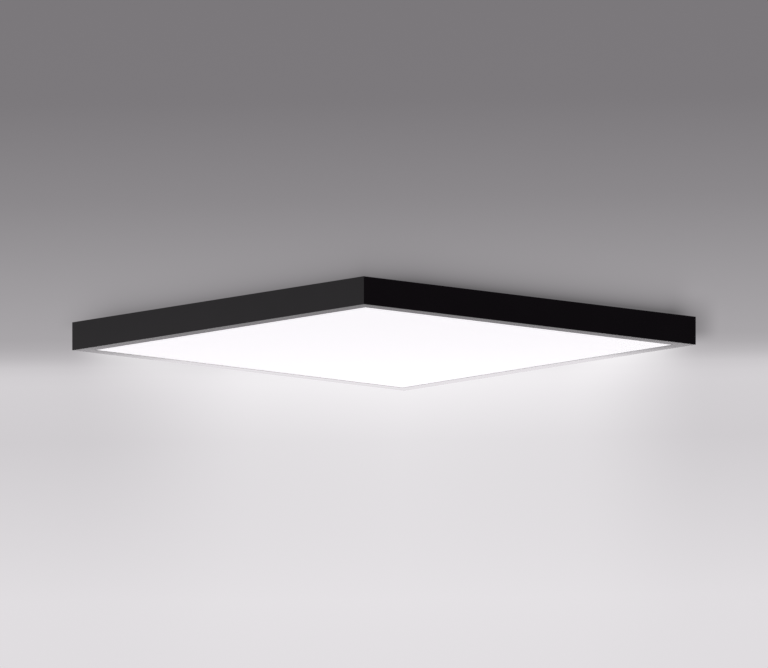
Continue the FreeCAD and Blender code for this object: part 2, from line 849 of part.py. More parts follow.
def make_back_plate():
    """Pressed steel sheet that is screwed onto the frame's shelves, with stiffening beads."""
    body = new_body("back_plate")
    edge = half - back_edge
    sheet = new_sketch(body, "XY_Plane", "back_plate_outline", shelf_top)
    rectangle(sheet, -edge, edge, -edge, edge, dim["back_corner"])
    pad(body, sheet, "back_plate_sheet", dim["back_thick"])

    add_beads(body, "front_bead", 0, -dim["front_bead_start"], dim["front_bead_length"], False,
              dim["front_bead_pitch"] * (dim["front_bead_count"] - 1), dim["front_bead_count"])
    add_beads(body, "rear_bead", 0, half - dim["rear_bead_inset"], dim["front_bead_length"], False)
    for name, side in (("left_bead", -1), ("right_bead", 1)):
        across = (rail_outer + half - dim["cover_screw_inset"]) / 2 * side
        add_beads(body, name, across, 0, dim["side_bead_length"], True)

    holes = new_sketch(body, "XY_Plane", "back_plate_holes", shelf_top)
    rivets = 2 * rail_rivets
    spots = fastener_spots()
    for x, y in spots[:rivets]:
        circle(holes, x, y, dim["rivet_diameter"])
    for x, y in spots[rivets:-1]:
        circle(holes, x, y, screw_hole)
    circle(holes, *spots[-1], dim["earth_screw_diameter"] + dim["tap_play"])
    for step in (-1, 0, 1):
        along = dim["cover_screw_spacing"] * step
        inset = half - dim["cover_screw_inset"]
        for x, y in ((along, inset), (along, -inset), (inset, along), (-inset, along)):
            circle(holes, x, y, screw_hole)
    notch_reach = lamp_lead_in + dim["lamp_lead_diameter"] * 2
    notch_half = dim["lamp_lead_diameter"] * 2
    for side in (-1, 1):
        ends = sorted(((half - notch_reach) * side, half * side), key=lambda size: size.value)
        rectangle(holes, *ends, dim["lamp_lead_rear"] - notch_half, dim["lamp_lead_rear"] + notch_half)
    pocket(body, holes, "back_plate_cuts", symmetric=True)
    return body


def add_beads(body, name, x, y, length, along_y, spread=0, count=1):
    """A pressed bead: raised above the sheet and hollow below."""
    wall = dim["back_thick"]
    raised = new_sketch(body, "XY_Plane", name + "_raised", back_top)
    slot(raised, x, y, length, dim["bead_width"], along_y)
    features = [pad(body, raised, name, dim["bead_height"])]
    hollow = new_sketch(body, "XY_Plane", name + "_hollow", shelf_top)
    slot(hollow, x, y, length - wall * 2, dim["bead_width"] - wall * 2, along_y)
    features.append(pocket(body, hollow, name + "_cut", dim["bead_height"], up=True))
    if as_size(count).value > 1:
        pattern = repeat_row(body, features, "Y_Axis", spread, count, name + "_row")
        pattern.Reversed = True


def make_back_plate_screws():
    body = new_body("back_plate_screws")
    length = dim["back_thick"] + dim["shelf_thick"]
    corners = pan_screw(length, dim["screw_diameter"], dim["screw_head"], dim["screw_head_height"])
    screws = []
    for i, step in enumerate((-1, 0, 1)):
        spot = (dim["cover_screw_spacing"] * step, dim["cover_screw_inset"] - half, back_top)
        screws.append(turned(body, f"back_plate_screw_{i}", spot, corners))
    repeat_round(body, screws, 4, "back_plate_screw_ring")
    return body


# ---------------------------------------------------------------------------- ceiling plate, clips, rails


def make_ceiling_plate():
    """Steel plate screwed to the ceiling: two end flanges carry the clips, two folds stiffen it."""
    body = new_body("ceiling_plate")
    thick = dim["plate_thick"]
    bend = dim["plate_bend"]
    deep = dim["plate_width"] / 2
    section = new_sketch(body, "XZ_Plane", "ceiling_plate_section")
    outline(section, [
        (-clip_line, -dim["flange_depth"]),
        (thick - clip_line, -dim["flange_depth"]),
        (thick - clip_line, -thick, bend - thick),
        (clip_line - thick, -thick, bend - thick),
        (clip_line - thick, -dim["flange_depth"]),
        (clip_line, -dim["flange_depth"]),
        (clip_line, 0, bend),
        (-clip_line, 0, bend),
    ])
    pad(body, section, "ceiling_plate_sheet", dim["plate_width"], symmetric=True)

    folds = new_sketch(body, "XY_Plane", "ceiling_plate_folds", -thick)
    reach = clip_line - dim["plate_notch"]
    for side in (-1, 1):
        rows = sorted((deep * side, (deep - thick) * side), key=lambda size: size.value)
        rectangle(folds, -reach, reach, *rows)
    pad(body, folds, "ceiling_plate_edge_folds", dim["fold_depth"] - thick, down=True)

    cuts = new_sketch(body, "XY_Plane", "ceiling_plate_cuts")
    window = (dim["window_length"] / 2, dim["window_width"] / 2)
    rectangle(cuts, -window[0], window[0], -window[1], window[1], dim["window_corner"])
    for x_side in (-1, 1):
        for y_side in (-1, 1):
            x = dim["slot_spacing_long"] / 2 * x_side
            y = dim["slot_spacing_short"] / 2 * y_side
            slot(cuts, x, y, dim["slot_length"], dim["slot_width"])
            xs = sorted(((clip_line + bend) * x_side, reach * x_side), key=lambda size: size.value)
            notch = deep - dim["plate_notch"]
            ys = sorted(((deep + bend) * y_side, notch * y_side), key=lambda size: size.value)
            rectangle(cuts, *xs, *ys)
    pocket(body, cuts, "ceiling_plate_openings", symmetric=True)

    rivets = new_sketch(body, "YZ_Plane", "ceiling_plate_rivet_holes")
    for step in clip_rivet_steps:
        circle(rivets, step, clip_middle, dim["rivet_diameter"])
    pocket(body, rivets, "ceiling_plate_rivet_cuts", symmetric=True)
    return body


def make_spring_clips():
    """Four leaf springs, bent to a nose that the rails snap over."""
    body = new_body("spring_clips")
    face = clip_line + dim["clip_thick"] / 2
    clips = []
    for i, step in enumerate(clip_steps):
        section = new_sketch(body, "XY_Plane", f"clip_section_{i}", -dim["clip_top_level"])
        rectangle(section, clip_line, clip_line + dim["clip_thick"],
                  step - dim["clip_width"] / 2, step + dim["clip_width"] / 2)
        spine = new_sketch(body, "XZ_Plane", f"clip_spine_{i}", -step)
        outline(spine, [
            (face, -dim["clip_top_level"]),
            (face, -dim["clip_bend_level"], dim["clip_round"]),
            (clip_line + dim["clip_nose_out"], -dim["clip_nose_level"], dim["clip_round"]),
            (clip_line + dim["clip_end_out"], -dim["clip_end_level"]),
        ], closed=False)
        clip = body.newObject("PartDesign::AdditivePipe", f"clip_{i}")
        clip.Profile = section
        clip.Spine = spine
        clips.append(clip)
    repeat_round(body, clips, 2, "clip_pairs")
    holes = new_sketch(body, "YZ_Plane", "clip_rivet_holes")
    for step in clip_rivet_steps:
        circle(holes, step, clip_middle, dim["rivet_diameter"])
    pocket(body, holes, "clip_rivet_cuts", symmetric=True)
    return body


def rivet_outline(start, end):
    """Half outline of a rivet along its axis, from its tail at start to its head at end."""
    shank = dim["rivet_diameter"] / 2
    head = dim["rivet_head"] / 2
    thick = dim["rivet_head_thick"]
    return [
        (start - thick, 0),
        (start - thick, head),
        (start, head),
        (start, shank),
        (end, shank),
        (end, head),
        (end + thick, head, thick / 2),
        (end + thick, 0),
    ]


def make_clip_rivets():
    body = new_body("clip_rivets")
    corners = rivet_outline(clip_line - dim["plate_thick"], clip_line + dim["clip_thick"])
    rivets = []
    for i, step in enumerate(clip_rivet_steps):
        rivets.append(turned(body, f"clip_rivet_{i}", (0, step, clip_middle), corners, lying=True))
    repeat_round(body, rivets, 2, "clip_rivet_pairs")
    return body


def make_catch_rail(label, turn):
    """Z-section rail on the back plate whose inner lip the clips carry."""
    body = new_body(label, turn)
    thick = dim["rail_thick"]
    bend = dim["rail_bend"]
    web_outer = rail_web + thick
    section = new_sketch(body, "XZ_Plane", label + "_section")
    outline(section, [
        (rail_web, back_top, bend),
        (rail_outer, back_top),
        (rail_outer, back_top + thick),
        (web_outer, back_top + thick, bend - thick),
        (web_outer, rail_top, bend),
        (rail_web - dim["rail_lip"], rail_top),
        (rail_web - dim["rail_lip"], rail_top - thick),
        (rail_web, rail_top - thick, bend - thick),
    ])
    pad(body, section, label + "_strip", dim["rail_length"], symmetric=True)
    corners = new_sketch(body, "XY_Plane", label + "_corners", rail_top)
    lip_edge = rail_web - dim["rail_lip"]
    for side in (-1, 1):
        end = dim["rail_length"] / 2 * side
        outline(corners, [(lip_edge, end - dim["rail_cut"] * side), (lip_edge, end), (rail_web, end)])
    pocket(body, corners, label + "_corner_cuts", thick)
    holes = new_sketch(body, "XY_Plane", label + "_holes", back_top)
    for step in rail_rivet_steps:
        circle(holes, rail_rivet_across, step, dim["rivet_diameter"])
    pocket(body, holes, label + "_cuts", thick, up=True)
    return body


def make_rail_rivets():
    body = new_body("rail_rivets")
    lying = rivet_outline(shelf_top, back_top + dim["rail_thick"])
    corners = [(radius, height) for height, radius, *_ in lying]
    rivets = []
    for i, step in enumerate(rail_rivet_steps):
        rivets.append(turned(body, f"rail_rivet_{i}", (rail_rivet_across, step, 0), corners))
    repeat_round(body, rivets, 2, "rail_rivet_pairs")
    return body


# ---------------------------------------------------------------------------- driver


def driver_ring(sketch, inset):
    """The driver's rounded outline, drawn in from its outer face."""
    corner = dim["driver_corner"] - inset if as_size(inset).value < dim["driver_corner"].value else None
    rectangle(sketch, inset - driver_across, driver_across - inset,
              driver_front + inset, driver_back - inset, corner)


def make_driver_base():
    """Moulded tray with a screw ear at each end, posts for the circuit and holes for the leads."""
    body = new_body("driver_base")
    tray = new_sketch(body, "XY_Plane", "driver_tray_outline", back_top)
    driver_ring(tray, 0)
    pad(body, tray, "driver_tray", dim["driver_seam"])
    inside = new_sketch(body, "XY_Plane", "driver_tray_inside", driver_seam)
    driver_ring(inside, dim["driver_wall"])
    pocket(body, inside, "driver_tray_hollow", dim["driver_seam"] - dim["driver_floor"])

    ears = new_sketch(body, "XY_Plane", "driver_ear_outline", back_top)
    for side in (-1, 1):
        reach = driver_across + dim["ear_length"]
        xs = sorted((driver_across * side, reach * side), key=lambda size: size.value)
        rectangle(ears, *xs, driver_middle - dim["ear_width"] / 2, driver_middle + dim["ear_width"] / 2)
    pad(body, ears, "driver_ears", dim["ear_thick"])
    ear_holes = new_sketch(body, "XY_Plane", "driver_ear_holes", back_top)
    for side in (-1, 1):
        circle(ear_holes, ear_across * side, driver_middle, screw_hole)
    pocket(body, ear_holes, "driver_ear_cuts", dim["ear_thick"], up=True)

    posts = new_sketch(body, "XY_Plane", "driver_post_outline", back_top + dim["driver_floor"])
    pins = new_sketch(body, "XY_Plane", "driver_pin_outline", circuit_low)
    for x, y in post_spots():
        circle(posts, x, y, dim["post_diameter"])
        circle(pins, x, y, dim["post_pin"])
    pad(body, posts, "driver_posts", dim["post_height"])
    pad(body, pins, "driver_post_pins", dim["circuit_thick"])

    front_holes = new_sketch(body, "XZ_Plane", "driver_front_holes", -driver_front)
    for x in mains_lead_steps():
        circle(front_holes, x, lead_level, mains_lead_hole)
    pocket(body, front_holes, "driver_front_cuts", dim["driver_wall"])
    end_holes = new_sketch(body, "YZ_Plane", "driver_end_holes")
    slot(end_holes, lamp_lead_exit, lead_level, lamp_lead_step * 2 + lamp_lead_bore, lamp_lead_bore)
    pocket(body, end_holes, "driver_end_cuts", symmetric=True)
    return body


def post_spots():
    return [(post_across * x, driver_middle + post_reach * y) for x in (-1, 1) for y in (-1, 1)]


def mains_lead_steps():
    """Where the live and neutral leads enter the driver."""
    return [dim["driver_lead_across"] - dim["lead_pitch"] * step for step in (0, 1)]


def make_driver_cover():
    """Moulded lid of the driver: a shell with a tongue that drops inside the tray, and cooling grooves."""
    body = new_body("driver_cover")
    height = dim["driver_height"] - dim["driver_seam"]
    shell = new_sketch(body, "XY_Plane", "driver_shell_outline", driver_seam)
    driver_ring(shell, 0)
    solid = pad(body, shell, "driver_shell", height)
    rim = edges_where(solid, lambda edge: close_to(edge.BoundBox.ZMin, driver_top))
    fillet(body, solid, rim, dim["cover_round"], "driver_shell_round")
    inside = new_sketch(body, "XY_Plane", "driver_shell_inside", driver_seam)
    driver_ring(inside, dim["driver_wall"])
    pocket(body, inside, "driver_shell_hollow", height - dim["driver_wall"], up=True)

    tongue_outer = dim["driver_wall"] + dim["tongue_play"]
    tongue_inner = tongue_outer + dim["tongue_thick"]
    root = new_sketch(body, "XY_Plane", "driver_tongue_root_outline", driver_seam)
    driver_ring(root, dim["driver_wall"])
    driver_ring(root, tongue_inner)
    pad(body, root, "driver_tongue_root", dim["cover_tongue"])
    tongue = new_sketch(body, "XY_Plane", "driver_tongue_outline", driver_seam)
    driver_ring(tongue, tongue_outer)
    driver_ring(tongue, tongue_inner)
    pad(body, tongue, "driver_tongue", dim["cover_tongue"], down=True)

    groove = new_sketch(body, "XY_Plane", "driver_groove_outline", driver_top)
    spread = dim["groove_pitch"] * (dim["groove_count"] - 1)
    slot(groove, -spread / 2, driver_middle, dim["groove_length"], dim["groove_width"], along_y=True)
    cut = pocket(body, groove, "driver_groove", dim["groove_depth"])
    repeat_row(body, [cut], "X_Axis", spread, dim["groove_count"], "driver_grooves")
    return body


def make_driver_circuit():
    body = new_body("driver_circuit")
    sketch = new_sketch(body, "XY_Plane", "circuit_outline", circuit_low)
    rectangle(sketch, circuit_reach - driver_across, driver_across - circuit_reach,
              driver_front + circuit_reach, driver_back - circuit_reach)
    for x, y in post_spots():
        circle(sketch, x, y, dim["post_pin"] + dim["tap_play"] * 2)
    pad(body, sketch, "circuit_sheet", dim["circuit_thick"])
    return body


def make_transformer():
    """Ferrite core, a frame round its coil, standing on the circuit."""
    body = new_body("transformer")
    core = new_sketch(body, "XY_Plane", "core_outline", circuit_top)
    x = dim["core_length"] / 2
    y = dim["core_width"] / 2
    leg = dim["core_leg"]
    rectangle(core, -x, x, driver_middle - y, driver_middle + y)
    for side in (-1, 1):
        spans = sorted(((x - leg / 2) * side, leg / 2 * side), key=lambda size: size.value)
        rectangle(core, *spans, driver_middle - y + leg / 2, driver_middle + y - leg / 2)
    pad(body, core, "core", dim["core_height"])
    coil = new_sketch(body, "XZ_Plane", "coil_outline", -driver_middle)
    level = circuit_top + dim["core_height"] / 2
    rise = dim["core_height"] / 2 - dim["coil_clear"]
    reach = x - leg / 2 - dim["coil_clear"]
    rectangle(coil, -reach, reach, level - rise, level + rise, dim["coil_round"])
    pad(body, coil, "coil", dim["coil_width"], symmetric=True)
    return body


def make_capacitors():
    """Two electrolytic cans lying on the circuit, each with a rolled groove near its sealed end."""
    body = new_body("capacitors")
    radius = dim["can_diameter"] / 2
    x = dim["core_length"]
    end = x + dim["can_length"]
    groove_end = end - dim["can_seal_length"]
    groove_start = groove_end - dim["can_groove_width"]
    corners = [
        (x, 0),
        (x, radius, dim["can_round"]),
        (groove_start, radius),
        ((groove_start + groove_end) / 2, radius - dim["can_round"]),
        (groove_end, radius),
        (end, radius, dim["can_round"]),
        (end, 0),
    ]
    for i, side in enumerate((-1, 1)):
        y = driver_middle + dim["can_diameter"] * side
        turned(body, f"can_{i}", (0, y, circuit_top + radius), corners, lying=True)
    return body


def make_choke():
    body = new_body("choke")
    rim = dim["choke_rim"]
    corners = [
        (0, 0),
        (dim["choke_diameter"] / 2, 0),
        (dim["choke_diameter"] / 2, rim),
        (dim["choke_waist"] / 2, rim * 2),
        (dim["choke_waist"] / 2, dim["choke_height"] - rim * 2),
        (dim["choke_diameter"] / 2, dim["choke_height"] - rim),
        (dim["choke_diameter"] / 2, dim["choke_height"]),
        (0, dim["choke_height"]),
    ]
    turned(body, "choke_drum", (-dim["core_length"] * 2, driver_middle, circuit_top), corners)
    return body


def make_driver_screws():
    body = new_body("driver_screws")
    length = dim["ear_thick"] + dim["back_thick"] + dim["screw_below"]
    corners = pan_screw(length, dim["screw_diameter"], dim["screw_head"], dim["screw_head_height"])
    for i, side in enumerate((-1, 1)):
        spot = (ear_across * side, driver_middle, back_top + dim["ear_thick"])
        turned(body, f"driver_screw_{i}", spot, corners)
    return body


# ---------------------------------------------------------------------------- terminal box


def make_terminal_base():
    """Moulded box for the supply terminals: grommet hole, lead holes, clamp bosses and hinge lugs."""
    body = new_body("terminal_base")
    wall = dim["box_wall"]
    outer = new_sketch(body, "XY_Plane", "box_outline", back_top)
    rectangle(outer, -box_across, box_across, -box_depth, box_depth, dim["box_corner"])
    pad(body, outer, "box_block", dim["box_height"])
    inside = new_sketch(body, "XY_Plane", "box_inside", box_seam)
    rectangle(inside, wall - box_across, box_across - wall, wall - box_depth, box_depth - wall)
    pocket(body, inside, "box_hollow", dim["box_height"] - dim["box_floor"])

    bosses = new_sketch(body, "XY_Plane", "boss_outline", box_floor_top)
    for side in (-1, 1):
        circle(bosses, clamp_across, dim["clamp_spacing"] / 2 * side, dim["boss_diameter"])
    pad(body, bosses, "clamp_bosses", dim["cable_level"] - dim["box_floor"])
    taps = new_sketch(body, "XY_Plane", "boss_holes", cable_level)
    for side in (-1, 1):
        circle(taps, clamp_across, dim["clamp_spacing"] / 2 * side, screw_hole)
    pocket(body, taps, "boss_taps", dim["cable_level"] - dim["box_floor"])

    floor_holes = new_sketch(body, "XY_Plane", "box_floor_holes", box_floor_top)
    for x, y in box_screw_spots:
        circle(floor_holes, x, y, screw_hole)
    pocket(body, floor_holes, "box_floor_cuts", dim["box_floor"])

    left_hole = new_sketch(body, "YZ_Plane", "grommet_hole", wall - box_across)
    circle(left_hole, 0, cable_level, dim["grommet_hole"])
    pocket(body, left_hole, "grommet_cut", wall)
    rear_holes = new_sketch(body, "XZ_Plane", "lead_holes", -box_depth)
    for x in lead_turns:
        circle(rear_holes, x, lead_level, mains_lead_hole)
    pocket(body, rear_holes, "lead_cuts", wall, up=True)

    lug_start = dim["knuckle_length"] / 2 + dim["hinge_gap"]
    for name, side in (("left", -1), ("right", 1)):
        middle = (lug_start + dim["lug_length"] / 2) * side
        barrel = new_sketch(body, "YZ_Plane", f"{name}_lug_outline", middle)
        circle(barrel, hinge_line, box_seam, dim["hinge_diameter"])
        pad(body, barrel, f"{name}_lug", dim["lug_length"], symmetric=True)
        web = new_sketch(body, "YZ_Plane", f"{name}_lug_web_outline", middle)
        rectangle(web, hinge_line, -box_depth, box_seam - dim["hinge_diameter"] / 2, box_seam)
        pad(body, web, f"{name}_lug_web", dim["lug_length"], symmetric=True)
    pin_hole = new_sketch(body, "YZ_Plane", "lug_hole_outline")
    circle(pin_hole, hinge_line, box_seam, dim["hinge_pin_diameter"])
    pocket(body, pin_hole, "lug_holes", symmetric=True)
    return body


def make_terminal_lid():
    """Hinged lid with a rim that drops inside the box and a thumb tab."""
    body = new_body("terminal_lid")
    thick = dim["lid_thick"]
    wall = dim["box_wall"]
    play = dim["lid_play"]
    outline_sketch = new_sketch(body, "XY_Plane", "lid_outline", box_seam)
    rectangle(outline_sketch, -box_across, box_across, -box_depth, box_depth, dim["box_corner"])
    pad(body, outline_sketch, "lid_sheet", thick)
    tab = new_sketch(body, "XY_Plane", "lid_tab_outline", box_seam)
    rectangle(tab, -dim["tab_length"] / 2, dim["tab_length"] / 2,
              box_depth - wall, box_depth + dim["tab_reach"], wall / 2)
    pad(body, tab, "lid_tab", thick)
    ridges = new_sketch(body, "XY_Plane", "lid_ridge_outline", box_seam + thick)
    for step in (0, 1, 2):
        y = box_depth + dim["tab_reach"] - dim["tab_ridge_pitch"] * (step + 1 / 2)
        slot(ridges, 0, y, dim["tab_ridge_length"], dim["tab_ridge_width"])
    pad(body, ridges, "lid_ridges", dim["tab_ridge_height"])
    rim = new_sketch(body, "XY_Plane", "lid_rim_outline", box_seam)
    for inset in (wall + play, wall + play + dim["lid_rim"]):
        rectangle(rim, inset - box_across, box_across - inset, inset - box_depth, box_depth - inset)
    pad(body, rim, "lid_rim", dim["lid_rim"], down=True)

    barrel = new_sketch(body, "YZ_Plane", "knuckle_outline")
    circle(barrel, hinge_line, box_seam, dim["hinge_diameter"])
    pad(body, barrel, "knuckle", dim["knuckle_length"], symmetric=True)
    web = new_sketch(body, "YZ_Plane", "knuckle_web_outline")
    rectangle(web, hinge_line, -box_depth, box_seam + play, box_seam + thick)
    pad(body, web, "knuckle_web", dim["knuckle_length"], symmetric=True)
    pin_hole = new_sketch(body, "YZ_Plane", "knuckle_hole_outline")
    circle(pin_hole, hinge_line, box_seam, dim["hinge_pin_diameter"] + dim["hinge_play"] * 2)
    pocket(body, pin_hole, "knuckle_hole", symmetric=True)
    return body


def make_hinge_pin():
    body = new_body("hinge_pin")
    sketch = new_sketch(body, "YZ_Plane", "hinge_pin_outline")
    circle(sketch, hinge_line, box_seam, dim["hinge_pin_diameter"])
    length = dim["knuckle_length"] + (dim["hinge_gap"] + dim["lug_length"]) * 2
    pad(body, sketch, "hinge_pin_rod", length, symmetric=True)
    return body


def make_cable_grommet():
    """Rubber grommet that sits in the box wall where the supply cable comes in."""
    body = new_body("cable_grommet")
    bore = dim["cable_bore"] / 2
    flange = dim["grommet_flange"] / 2
    neck = dim["grommet_hole"] / 2 - dim["grommet_play"]
    thick = dim["grommet_thick"]
    corners = [
        (-thick, bore),
        (-thick, flange, thick / 3),
        (0, flange),
        (0, neck),
        (dim["box_wall"], neck),
        (dim["box_wall"], flange),
        (dim["box_wall"] + thick, flange, thick / 3),
        (dim["box_wall"] + thick, bore),
    ]
    turned(body, "grommet", (-box_across, 0, cable_level), corners, lying=True)
    return body


def make_cable_clamp_bar():
    """Arched bar that screws down on the supply cable."""
    body = new_body("cable_clamp_bar")
    arch = dim["cable_bore"] / 2 + dim["bar_cover"]
    reach = dim["clamp_spacing"] / 2 + dim["boss_diameter"] / 2
    side = new_sketch(body, "YZ_Plane", "bar_outline", clamp_across)
    rectangle(side, -reach, reach, cable_level, cable_level + dim["bar_thick"])
    pad(body, side, "bar", dim["bar_width"], symmetric=True)
    hump = new_sketch(body, "YZ_Plane", "bar_arch_outline", clamp_across)
    rectangle(hump, -arch, arch, cable_level, cable_level + arch, dim["bar_cover"])
    pad(body, hump, "bar_arch", dim["bar_width"], symmetric=True)
    saddle = new_sketch(body, "YZ_Plane", "bar_saddle_outline", clamp_across)
    circle(saddle, 0, cable_level, dim["cable_bore"])
    pocket(body, saddle, "bar_saddle", dim["bar_width"], symmetric=True)
    holes = new_sketch(body, "XY_Plane", "bar_hole_outline", cable_level)
    for step in (-1, 1):
        circle(holes, clamp_across, dim["clamp_spacing"] / 2 * step, screw_hole)
    pocket(body, holes, "bar_holes", dim["bar_thick"], up=True)
    return body


def make_cable_clamp_screws():
    body = new_body("cable_clamp_screws")
    length = dim["bar_thick"] + dim["cable_level"] - dim["box_floor"] - dim["clamp_screw_clear"]
    corners = pan_screw(length, dim["screw_diameter"], dim["screw_head"], dim["screw_head_height"])
    for i, side in enumerate((-1, 1)):
        spot = (clamp_across, dim["clamp_spacing"] / 2 * side, cable_level + dim["bar_thick"])
        turned(body, f"clamp_screw_{i}", spot, corners)
    return body


def make_terminal_box_screws():
    body = new_body("terminal_box_screws")
    length = dim["box_floor"] + dim["back_thick"] + dim["screw_below"]
    corners = pan_screw(length, dim["screw_diameter"], dim["screw_head"], dim["screw_head_height"])
    for i, (x, y) in enumerate(box_screw_spots):
        turned(body, f"box_screw_{i}", (x, y, box_floor_top), corners)
    return body


def make_terminal_block():
    """Three-pole push-in block: a chamber for each contact, entries at both ends, buttons on top."""
    body = new_body("terminal_block")
    reach = dim["pole_pitch"] * 1.5 + dim["block_wall"] / 2
    outer = new_sketch(body, "XY_Plane", "block_outline", box_floor_top)
    rectangle(outer, block_left, block_right, -reach, reach, dim["block_wall"] / 2)
    pad(body, outer, "block", dim["block_height"])

    chambers = new_sketch(body, "XY_Plane", "chamber_outline", box_floor_top)
    windows = new_sketch(body, "XY_Plane", "button_window_outline", block_top)
    entries = new_sketch(body, "YZ_Plane", "entry_outline", block_left)
    funnels = new_sketch(body, "YZ_Plane", "funnel_outline", block_left)
    exits = new_sketch(body, "YZ_Plane", "exit_outline", block_right)
    half_chamber = dim["chamber_length"] / 2
    half_room = (dim["pole_pitch"] - dim["block_wall"]) / 2
    half_long = dim["button_length"] / 2 + dim["button_play"]
    half_wide = dim["button_width"] / 2 + dim["button_play"]
    for step in pole_steps:
        rectangle(chambers, block_middle - half_chamber, block_middle + half_chamber,
                  step - half_room, step + half_room)
        rectangle(windows, block_middle - half_long, block_middle + half_long,
                  step - half_wide, step + half_wide)
        circle(entries, step, lead_level, dim["entry_diameter"])
        circle(funnels, step, lead_level, dim["funnel_diameter"])
        circle(exits, step, lead_level, mains_lead_hole)
    end_wall = (dim["block_length"] - dim["chamber_length"]) / 2
    pocket(body, chambers, "chambers", dim["block_height"] - dim["block_roof"], up=True)
    pocket(body, windows, "button_windows", dim["block_roof"])
    pocket(body, entries, "entry_bores", end_wall, up=True)
    pocket(body, funnels, "entry_funnels", dim["funnel_depth"], up=True)
    pocket(body, exits, "exit_bores", end_wall)
    grooves = new_sketch(body, "XY_Plane", "pole_groove_outline", block_top)
    for side in (-1, 1):
        y = dim["pole_pitch"] / 2 * side
        half_groove = dim["pole_groove_width"] / 2
        rectangle(grooves, block_left, block_right, y - half_groove, y + half_groove)
    pocket(body, grooves, "pole_grooves", dim["pole_groove_depth"])
    return body


def make_contact_clamps():
    """Brass cages inside the block, open at both ends for the wires."""
    body = new_body("contact_clamps")
    wall = dim["clamp_cage_wall"]
    for i, step in enumerate(pole_steps):
        sketch = new_sketch(body, "YZ_Plane", f"cage_outline_{i}", block_middle)
        high = box_floor_top + dim["clamp_cage_height"]
        reach = dim["clamp_cage_width"] / 2
        rectangle(sketch, step - reach, step + reach, box_floor_top, high, wall)
        rectangle(sketch, step - reach + wall, step + reach - wall, box_floor_top + wall, high - wall)
        pad(body, sketch, f"cage_{i}", dim["clamp_cage_length"], symmetric=True)
    return body


def make_release_button(label, step):
    """Button that stands proud of the block and is kept in by a collar under the roof."""
    body = new_body(label)
    half_long = dim["button_length"] / 2
    half_wide = dim["button_width"] / 2
    stem = new_sketch(body, "XY_Plane", label + "_outline", chamber_top - dim["button_play"])
    rectangle(stem, block_middle - half_long, block_middle + half_long, step - half_wide, step + half_wide)
    rise = dim["block_roof"] + dim["button_proud"] + dim["button_play"]
    pad(body, stem, label + "_stem", rise)
    collar = new_sketch(body, "XY_Plane", label + "_collar_outline", chamber_top - dim["button_play"])
    wider = dim["button_collar"]
    rectangle(collar, block_middle - half_long - wider, block_middle + half_long + wider,
              step - half_wide - wider, step + half_wide + wider)
    pad(body, collar, label + "_collar", dim["button_collar_height"], down=True)
    dimple = new_sketch(body, "XY_Plane", label + "_dimple_outline", block_top + dim["button_proud"])
    circle(dimple, block_middle, step, dim["button_dimple"])
    pocket(body, dimple, label + "_dimple", dim["button_dimple_depth"])
    return body


# ---------------------------------------------------------------------------- earth connection and leads


def make_earth_tag():
    """Ring tag with a crimped barrel that points at the terminal box."""
    body = new_body("earth_tag")
    x = dim["tag_across"]
    y = dim["tag_rear"]
    ring = new_sketch(body, "XY_Plane", "tag_ring_outline", back_top)
    circle(ring, x, y, dim["tag_ring"])
    pad(body, ring, "tag_ring", dim["tag_thick"])
    tongue = new_sketch(body, "XY_Plane", "tag_tongue_outline", back_top)
    half_wide = dim["tag_barrel"] / 2
    rectangle(tongue, x - half_wide, x + half_wide, tag_barrel_end, y)
    pad(body, tongue, "tag_tongue", dim["tag_thick"])
    hole = new_sketch(body, "XY_Plane", "tag_hole_outline", back_top)
    circle(hole, x, y, dim["tag_hole"])
    pocket(body, hole, "tag_hole", symmetric=True)
    barrel = new_sketch(body, "XZ_Plane", "tag_barrel_outline", -tag_barrel_end)
    circle(barrel, x, tag_lead_level, dim["tag_barrel"])
    pad(body, barrel, "tag_barrel", dim["tag_barrel_length"])
    bore = new_sketch(body, "XZ_Plane", "tag_bore_outline", -tag_barrel_end)
    circle(bore, x, tag_lead_level, mains_lead_hole)
    pocket(body, bore, "tag_bore", dim["tag_barrel_length"], up=True)
    return body


def make_earth_screw():
    body = new_body("earth_screw")
    length = dim["tag_thick"] + dim["back_thick"] + dim["screw_below"]
    head = dim["earth_screw_head"]
    corners = pan_screw(length, dim["earth_screw_diameter"], head, dim["earth_screw_height"])
    spot = (dim["tag_across"], dim["tag_rear"], back_top + dim["tag_thick"])
    turned(body, "earth_screw_turned", spot, corners)
    return body


def lead_piece(label, solids):
    """A node of one or more leads."""
    piece = doc.addObject("Part::Feature", label)
    piece.Label = label
    piece.Shape = solids[0] if len(solids) == 1 else Part.makeCompound(solids)
    return piece


def make_mains_lead(label, pole, turn, entry):
    """From a pole of the block, out through the box's rear wall and into the driver."""
    gap = driver_front - box_depth
    points = [
        (block_right - dim["lead_insert"], pole, lead_level),
        (turn, pole, lead_level),
        (turn, box_depth + gap / 4, lead_level),
        (entry, driver_front - gap / 4, lead_level),
        (entry, driver_front + circuit_reach, lead_level),
    ]
    return lead_piece(label, [tube(points, dim["mains_lead_diameter"], label)])


def make_earth_lead(label, pole, turn):
    """From the earth pole down to the crimped barrel of the tag."""
    gap = tag_barrel_start - box_depth
    points = [
        (block_right - dim["lead_insert"], pole, lead_level),
        (turn, pole, lead_level),
        (turn, box_depth + gap / 4, lead_level),
        (dim["tag_across"], box_depth + gap * 3 / 4, tag_lead_level),
        (dim["tag_across"], tag_barrel_start + dim["tag_barrel_length"] - dim["tag_thick"], tag_lead_level),
    ]
    return lead_piece(label, [tube(points, dim["mains_lead_diameter"], label)])


